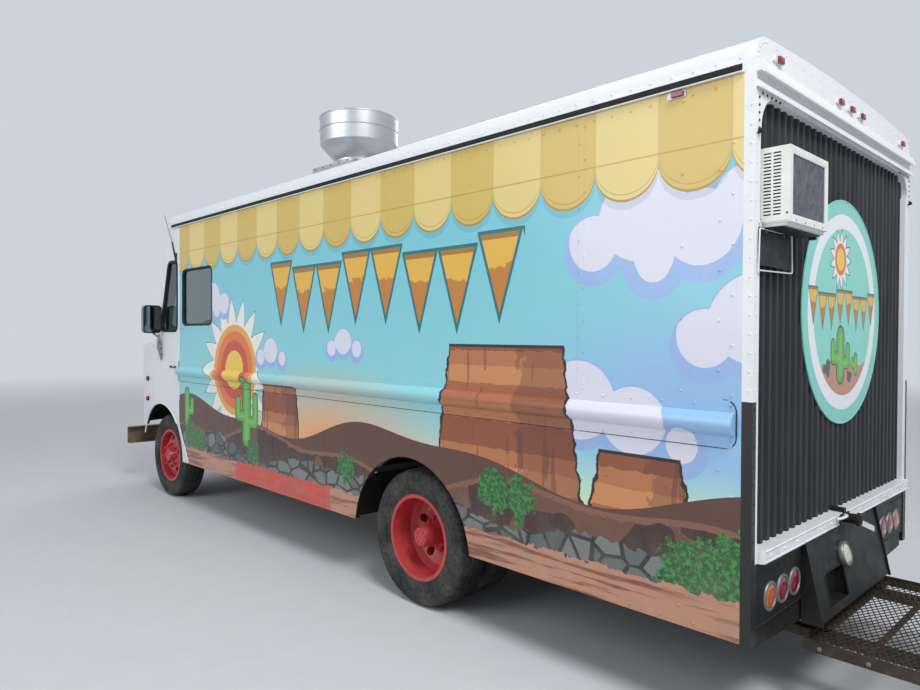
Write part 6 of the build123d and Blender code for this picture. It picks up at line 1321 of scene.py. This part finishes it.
def padded(name, middle, half, lean=0.0):
    # Cloth is blown up from the plain form, each point's travel is capped, and a subdivision rounds it off
    start = makePiece(name + "_form", padShape(middle, half, lean), "seatVinyl", sharp=180)
    remesh = start.modifiers.new("remesh", "REMESH")
    remesh.mode, remesh.voxel_size, remesh.use_smooth_shade = "VOXEL", seatWork["voxel"], True
    mesh = bpy.data.meshes.new_from_object(start.evaluated_get(bpy.context.evaluated_depsgraph_get()))
    bpy.data.objects.remove(start)
    piece = linked(name, mesh)
    before = np.empty(len(mesh.vertices) * 3)
    mesh.vertices.foreach_get("co", before)
    cloth = piece.modifiers.new("cloth", "CLOTH")
    cloth.settings.use_pressure, cloth.settings.uniform_pressure_force = True, seatWork["pressure"]
    cloth.settings.effector_weights.gravity = 0.0
    for step in range(1, seatWork["steps"] + 1):
        bpy.context.scene.frame_set(step)
    after = np.empty(len(before))
    blown = piece.evaluated_get(bpy.context.evaluated_depsgraph_get()).to_mesh()
    blown.vertices.foreach_get("co", after)
    piece.modifiers.remove(cloth)
    bpy.context.scene.frame_set(1)
    travel = (after - before).reshape(-1, 3)
    length = np.linalg.norm(travel, axis=1, keepdims=True)
    travel *= np.minimum(1, seatWork["travel"] / np.maximum(length, 1e-9))
    mesh.vertices.foreach_set("co", (before.reshape(-1, 3) + travel).ravel())
    mesh.update()
    mesh.materials.clear()
    mesh.materials.append(made["seatVinyl"])
    mesh.polygons.foreach_set("use_smooth", np.ones(len(mesh.polygons), bool))
    soft = piece.modifiers.new("round", "SUBSURF")
    soft.levels = soft.render_levels = 1
    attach(piece, "root")


padded("seat_cushion", *seatWork["cushion"])
padded("seat_back", *seatWork["back"], lean=seatWork["lean"])
(x, y, z), (halfX, halfY, _) = seatWork["cushion"]
turn = np.linspace(0, 2 * math.pi, 96, endpoint=False)
bow = [bent(wave(turn), seatWork["squareSide"]) for wave in (np.cos, np.sin)]
piping = spread(x + bow[0] * (halfX + 0.004), y + bow[1] * (halfY + 0.004), z + 0.012)
makePiece("seat_piping", tube(piping, 0.0035, zAxis, 8, closed=True), "seatVinyl")
pedestal = [panel(size, depth, (seatWork["x"], seatWork["y"], z), xAxis, yAxis, edge) for size, depth, z, edge in (
    ((0.30, 0.36, 0.03), 0.395, 0.815, 0.004), ((0.36, 0.42, 0.02), 0.012, 0.811, 0.003),
    ((0.42, 0.40, 0.03), 0.014, 1.238, 0.003))]
pedestal += [block((x - 0.018, -2.335, 1.210), (x + 0.018, -1.960, 1.240), 0.003) for x in (0.43, 0.69)]
pedestal.append(tube(bezier([(0.36, -2.34, 1.225), (0.44, -2.40, 1.222), (0.62, -2.40, 1.222), (0.68, -2.34, 1.225)],
                            14), 0.006, zAxis))
pedestal.append(tube([(0.348, -1.93, 1.26), (0.348, -1.905, 1.40)], 0.012, xAxis))
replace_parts(makePiece("seat_pedestal", pedestal, "blackPlastic"), "driver_seat")

# Dash: gauges, switches and vents on its rear face; pedals, visors, steering-wheel grip
dashWork = dict(face=-3.028, run=0.030, rise=0.120, lowZ=1.380, gaugeZ=1.445,
                gauges=((0.44, 0.036), (0.53, 0.046), (0.64, 0.046), (0.73, 0.036)), ventX=(-0.78, -0.55, 0.90))
lean = math.atan2(dashWork["run"], dashWork["rise"])
dashOut = np.array([0, math.cos(lean), math.sin(lean)])


def dashY(z):
    # The dash's face falls back with height
    return dashWork["face"] - dashWork["run"] * (z - dashWork["lowZ"]) / dashWork["rise"]


dials, bezels, knobs = [], [], []
for x, radius in dashWork["gauges"]:
    place = (x, dashY(dashWork["gaugeZ"]), dashWork["gaugeZ"])
    bezel = [(radius - 0.005, 0.0), (radius + 0.003, 0.0), (radius + 0.002, 0.006), (radius - 0.002, 0.009),
             (radius - 0.005, 0.005)]
    dial = [(0, 0.003), (0.004, 0.005), (0.006, 0.0035), (radius - 0.004, 0.003), (radius - 0.004, 0.0), (0, 0.0)]
    bezels.append(turned(bezel, place, dashOut, 32, closed=True))
    dials.append(turned(dial, place, dashOut, 28))
for x in np.arange(-0.30, 0.34, 0.075):
    knobs.append(turned([(0, 0), (0.013, 0), (0.011, 0.016), (0.009, 0.019), (0, 0.019)],
                        (x, dashWork["face"] - 0.014, 1.435), dashOut, 16))
for x in dashWork["ventX"]:
    for z in 1.41 + 0.013 * np.arange(5):
        knobs.append(block((x - 0.06, dashY(z) - 0.002, z), (x + 0.06, dashY(z) + 0.004, z + 0.006), 0.001))
makePiece("dash_bezels", bezels, "brightSteel")
makePiece("dash_dials", dials, "caseEnamel")
makePiece("dash_switches", knobs, "blackPlastic")
pedals = []
for x, width, z in ((0.44, 0.065, 1.07), (0.56, 0.075, 1.09), (0.67, 0.05, 1.06)):
    pedals.append(panel((width, 0.085, 0.012), 0.008, (x, -3.225, z), xAxis, (0, 0.5, 0.866), 0.002))
    arm = bezier([(x, -3.322, z + 0.19), (x, -3.26, z + 0.17), (x, -3.235, z + 0.01)], 10)
    pedals.append(tube(arm, 0.008, xAxis))
makePiece("foot_pedals", pedals, "castIron")
visors = []
for x in (0.50, -0.50):
    visors.append(panel((0.52, 0.150, 0.035, 6), 0.016, (x, -2.895, 2.455), xAxis, (0, 0.25, 0.968), 0.005))
    arm = bezier([(x - 0.28, -2.93, 2.555), (x - 0.24, -2.885, 2.545), (x + 0.20, -2.878, 2.535)], 12)
    visors.append(tube(arm, 0.005, zAxis))
makePiece("sun_visors", visors, "coverCarpet")
# Grip: a torus whose tube radius is thick + ripple * cos(count * turn), for the fingers
gripWork = dict(centre=(0.560, -2.758, 1.640), tilt=math.radians(42), radius=0.228, thick=0.0136, ripple=0.0006,
                count=60)
turn = np.linspace(0, 2 * math.pi, 360, endpoint=False)[:, None]
roll = np.linspace(0, 2 * math.pi, 14, endpoint=False)[None, :]
thick = gripWork["thick"] + gripWork["ripple"] * np.cos(gripWork["count"] * turn) + 0 * roll
columnDir = np.array([0, math.cos(gripWork["tilt"]), math.sin(gripWork["tilt"])])
wheelUp = np.array([0, -math.sin(gripWork["tilt"]), math.cos(gripWork["tilt"])])
spoke = np.cos(turn)[..., None] * xAxis + np.sin(turn)[..., None] * wheelUp
rim = spoke * (gripWork["radius"] + thick * np.cos(roll))[..., None] + columnDir * (thick * np.sin(roll))[..., None]
rim = grid(rim + gripWork["centre"], wrapRows=True, wrapColumns=True)
hub = turned([(0, 0.006), (0.034, 0.006), (0.042, 0.010), (0.040, 0.020), (0.030, 0.026), (0, 0.028)],
             gripWork["centre"], columnDir, 36)
makePiece("steering_grip", [rim, hub], "blackPlastic", "steering_wheel", sharp=60)
print("cab furnished")

# Kitchen: griddle, burners, knobs, baffle filters, shelf with rail and pots, cutting board, pans
kitchenWork = dict(counterZ=1.7003, servingZ=1.5604, griddleX=(0.40, 0.99), griddleY=(-1.08, -0.16), shelfZ=2.06,
                   shelfX=0.822, knobYs=(-0.98, -0.78, -0.58, -0.38, 0.02, 0.28))
counterZ, servingZ, shelfZ, shelfX = (kitchenWork[key] for key in ("counterZ", "servingZ", "shelfZ", "shelfX"))
(x0, x1), (y0, y1) = kitchenWork["griddleX"], kitchenWork["griddleY"]
cook = [panel((0.56, 0.90, 0.02), 0.020, (0.70, -0.62, counterZ), xAxis, yAxis, 0.003)]
cook += [block(low, high, 0.002) for low, high in (
    ((x0, y0, 1.715), (x1, y0 + 0.015, 1.80)), ((x0, y1 - 0.015, 1.715), (x1, y1, 1.80)),
    ((x1 - 0.015, y0, 1.715), (x1, y1, 1.83)))]
makePiece("griddle", cook, "stainless")
burner = join(turned(circle(0.006, 8) + (0.075, 0.014), count=28, closed=True),
              turned([(0, 0), (0.04, 0), (0.036, 0.012), (0, 0.013)], count=20),
              block((-0.11, -0.005, 0.012), (0.11, 0.005, 0.024), 0.001),
              block((-0.005, -0.11, 0.012), (0.005, 0.11, 0.024), 0.001))
places = [(x, y, counterZ) for x in (0.55, 0.82) for y in (0.02, 0.28)]
makePiece("burners", copies(burner, places, xAxis, zAxis), "castIron")
knob = turned([(0, 0), (0.022, 0), (0.020, 0.018), (0.017, 0.021), (0, 0.021)], count=18)
places = spread(0.425, np.array(kitchenWork["knobYs"]), 1.60)
makePiece("cooker_knobs", copies(knob, places, yAxis, -xAxis), "blackPlastic")
baffle = [(-0.018, -0.002), (0.018, -0.002), (0.014, 0.004), (-0.014, 0.004)]
filters = [carried(baffle, [(0.96, y, 2.60), (0.40, y, 2.72)], zAxis) for y in -1.30 + 0.0465 * np.arange(34)]
makePiece("hood_filters", filters, "stainless")
shelf = [panel((0.24, 1.90, 0.01), 0.018, (0.93, 1.55, shelfZ), xAxis, yAxis, 0.003),
         tube([(shelfX, 0.61, shelfZ + 0.05), (shelfX, 2.49, shelfZ + 0.05)], 0.005, zAxis)]
shelf += [tube([(shelfX, y, shelfZ + 0.01), (shelfX, y, shelfZ + 0.05)], 0.004, xAxis)
          for y in np.linspace(0.62, 2.48, 6)]
shelf += [block((0.83, y - 0.012, shelfZ - 0.16), (1.046, y + 0.012, shelfZ + 0.001), 0.003)
          for y in (0.80, 1.55, 2.30)]
makePiece("kitchen_shelf", shelf, "stainless")
pot = turned([(0, 0), (0.075, 0), (0.078, 0.004), (0.080, 0.12), (0.084, 0.124), (0.080, 0.128), (0.03, 0.140),
              (0.012, 0.142), (0.012, 0.156), (0, 0.158)], count=32)
places = spread(0.93, 0.95 + 0.23 * np.arange(6), 2.079)
makePiece("shelf_pots", copies(pot, places, xAxis, zAxis, 0.95), "brightSteel")
board = panel((0.30, 0.50, 0.03), 0.02, (-0.82, 0.1, servingZ), xAxis, yAxis, 0.003)
makePiece("cutting_board", board, "caseEnamel")
pans = [panel((0.26, 0.16, 0.02), 0.006, (-0.82, 0.50 + 0.19 * k, servingZ), xAxis, yAxis, 0.002) for k in range(6)]
makePiece("counter_pans", pans, "stainless")
print("kitchen fitted")

# Entry door: flush handle, pull cup and edge strips; hatch and shelf hardware on the right side
doorWork = dict(face=-1.0392, handleY=-1.79, handleZ=1.45, stripX=(-1.0405, -1.0385),
                frame=((-0.009, -0.001), (-0.009, 0.0008), (-0.006, 0.0018), (0.006, 0.0018), (0.009, 0.0008),
                       (0.009, -0.001)))
place = np.array([doorWork["face"] + 0.0002, doorWork["handleY"], doorWork["handleZ"]])
handle = [framed(roundedBox(0.050, 0.150, 0.020), place, -yAxis, zAxis, doorWork["frame"]),
          panel((0.034, 0.012, 0.003), 0.0016, place + (0, 0, 0.034), -yAxis, zAxis, 0.0004)]
makePiece("entry_handle", handle, "brightSteel", "entry_door")
cup = panel((0.036, 0.136, 0.014), 0.0009, place, -yAxis, zAxis, 0.0003)
makePiece("entry_pull_cup", cup, "blackPlastic", "entry_door")
x0, x1 = doorWork["stripX"]
strips = [block((x0, -2.405, 0.832), (x1, -1.670, 0.850), 0.0006),
          block((x0, -2.33, 1.10), (x1, -1.745, 1.112), 0.0006)]
makePiece("entry_door_strips", strips, "brightSteel", "entry_door")
hatchWork = dict(face=-1.1205, lockYs=(-0.42, 0.644), lockZ=1.64,
                 edge=((-0.022, -0.001), (-0.022, 0.0018), (0.0, 0.0018), (0.006, 0.0008), (0.006, -0.001)))
face, z = hatchWork["face"], hatchWork["lockZ"]
edge = framed(roundedBox(1.610, 0.918, 0.02), (face + 0.0006, 0.112, 2.030), -yAxis, zAxis, hatchWork["edge"])
makePiece("hatch_edge", edge, "whiteEnamel", "serving_hatch")
locks = []
for y in hatchWork["lockYs"]:
    locks.append(panel((0.10, 0.055, 0.010), 0.004, (face, y, z), -yAxis, zAxis, 0.0012))
    locks.append(turned([(0, 0), (0.014, 0), (0.012, 0.008), (0, 0.009)], (face - 0.004, y, z), -xAxis, 18))
    locks.append(block((face - 0.014, y - 0.032, z - 0.006), (face - 0.010, y + 0.032, z + 0.006), 0.001))
makePiece("hatch_locks", locks, "brightSteel", "serving_hatch")
(x0, y0, z0), (_, y1, z1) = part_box("serving_shelf")
hem = [tube([(x0 + 0.006, y0 + 0.012, z0 + 0.006), (x0 + 0.006, y1 - 0.012, z0 + 0.006)], 0.0075, zAxis)]
for y in np.linspace(y0 + 0.25, y1 - 0.25, 3):
    hem.append(block((x0 - 0.0018, y - 0.018, z0 + 0.03), (x0 + 0.002, y + 0.018, z1 - 0.05), 0.0008))
makePiece("shelf_hem", hem, "stainless", "serving_shelf")
print("right side fitted")

bpy.context.view_layer.update()
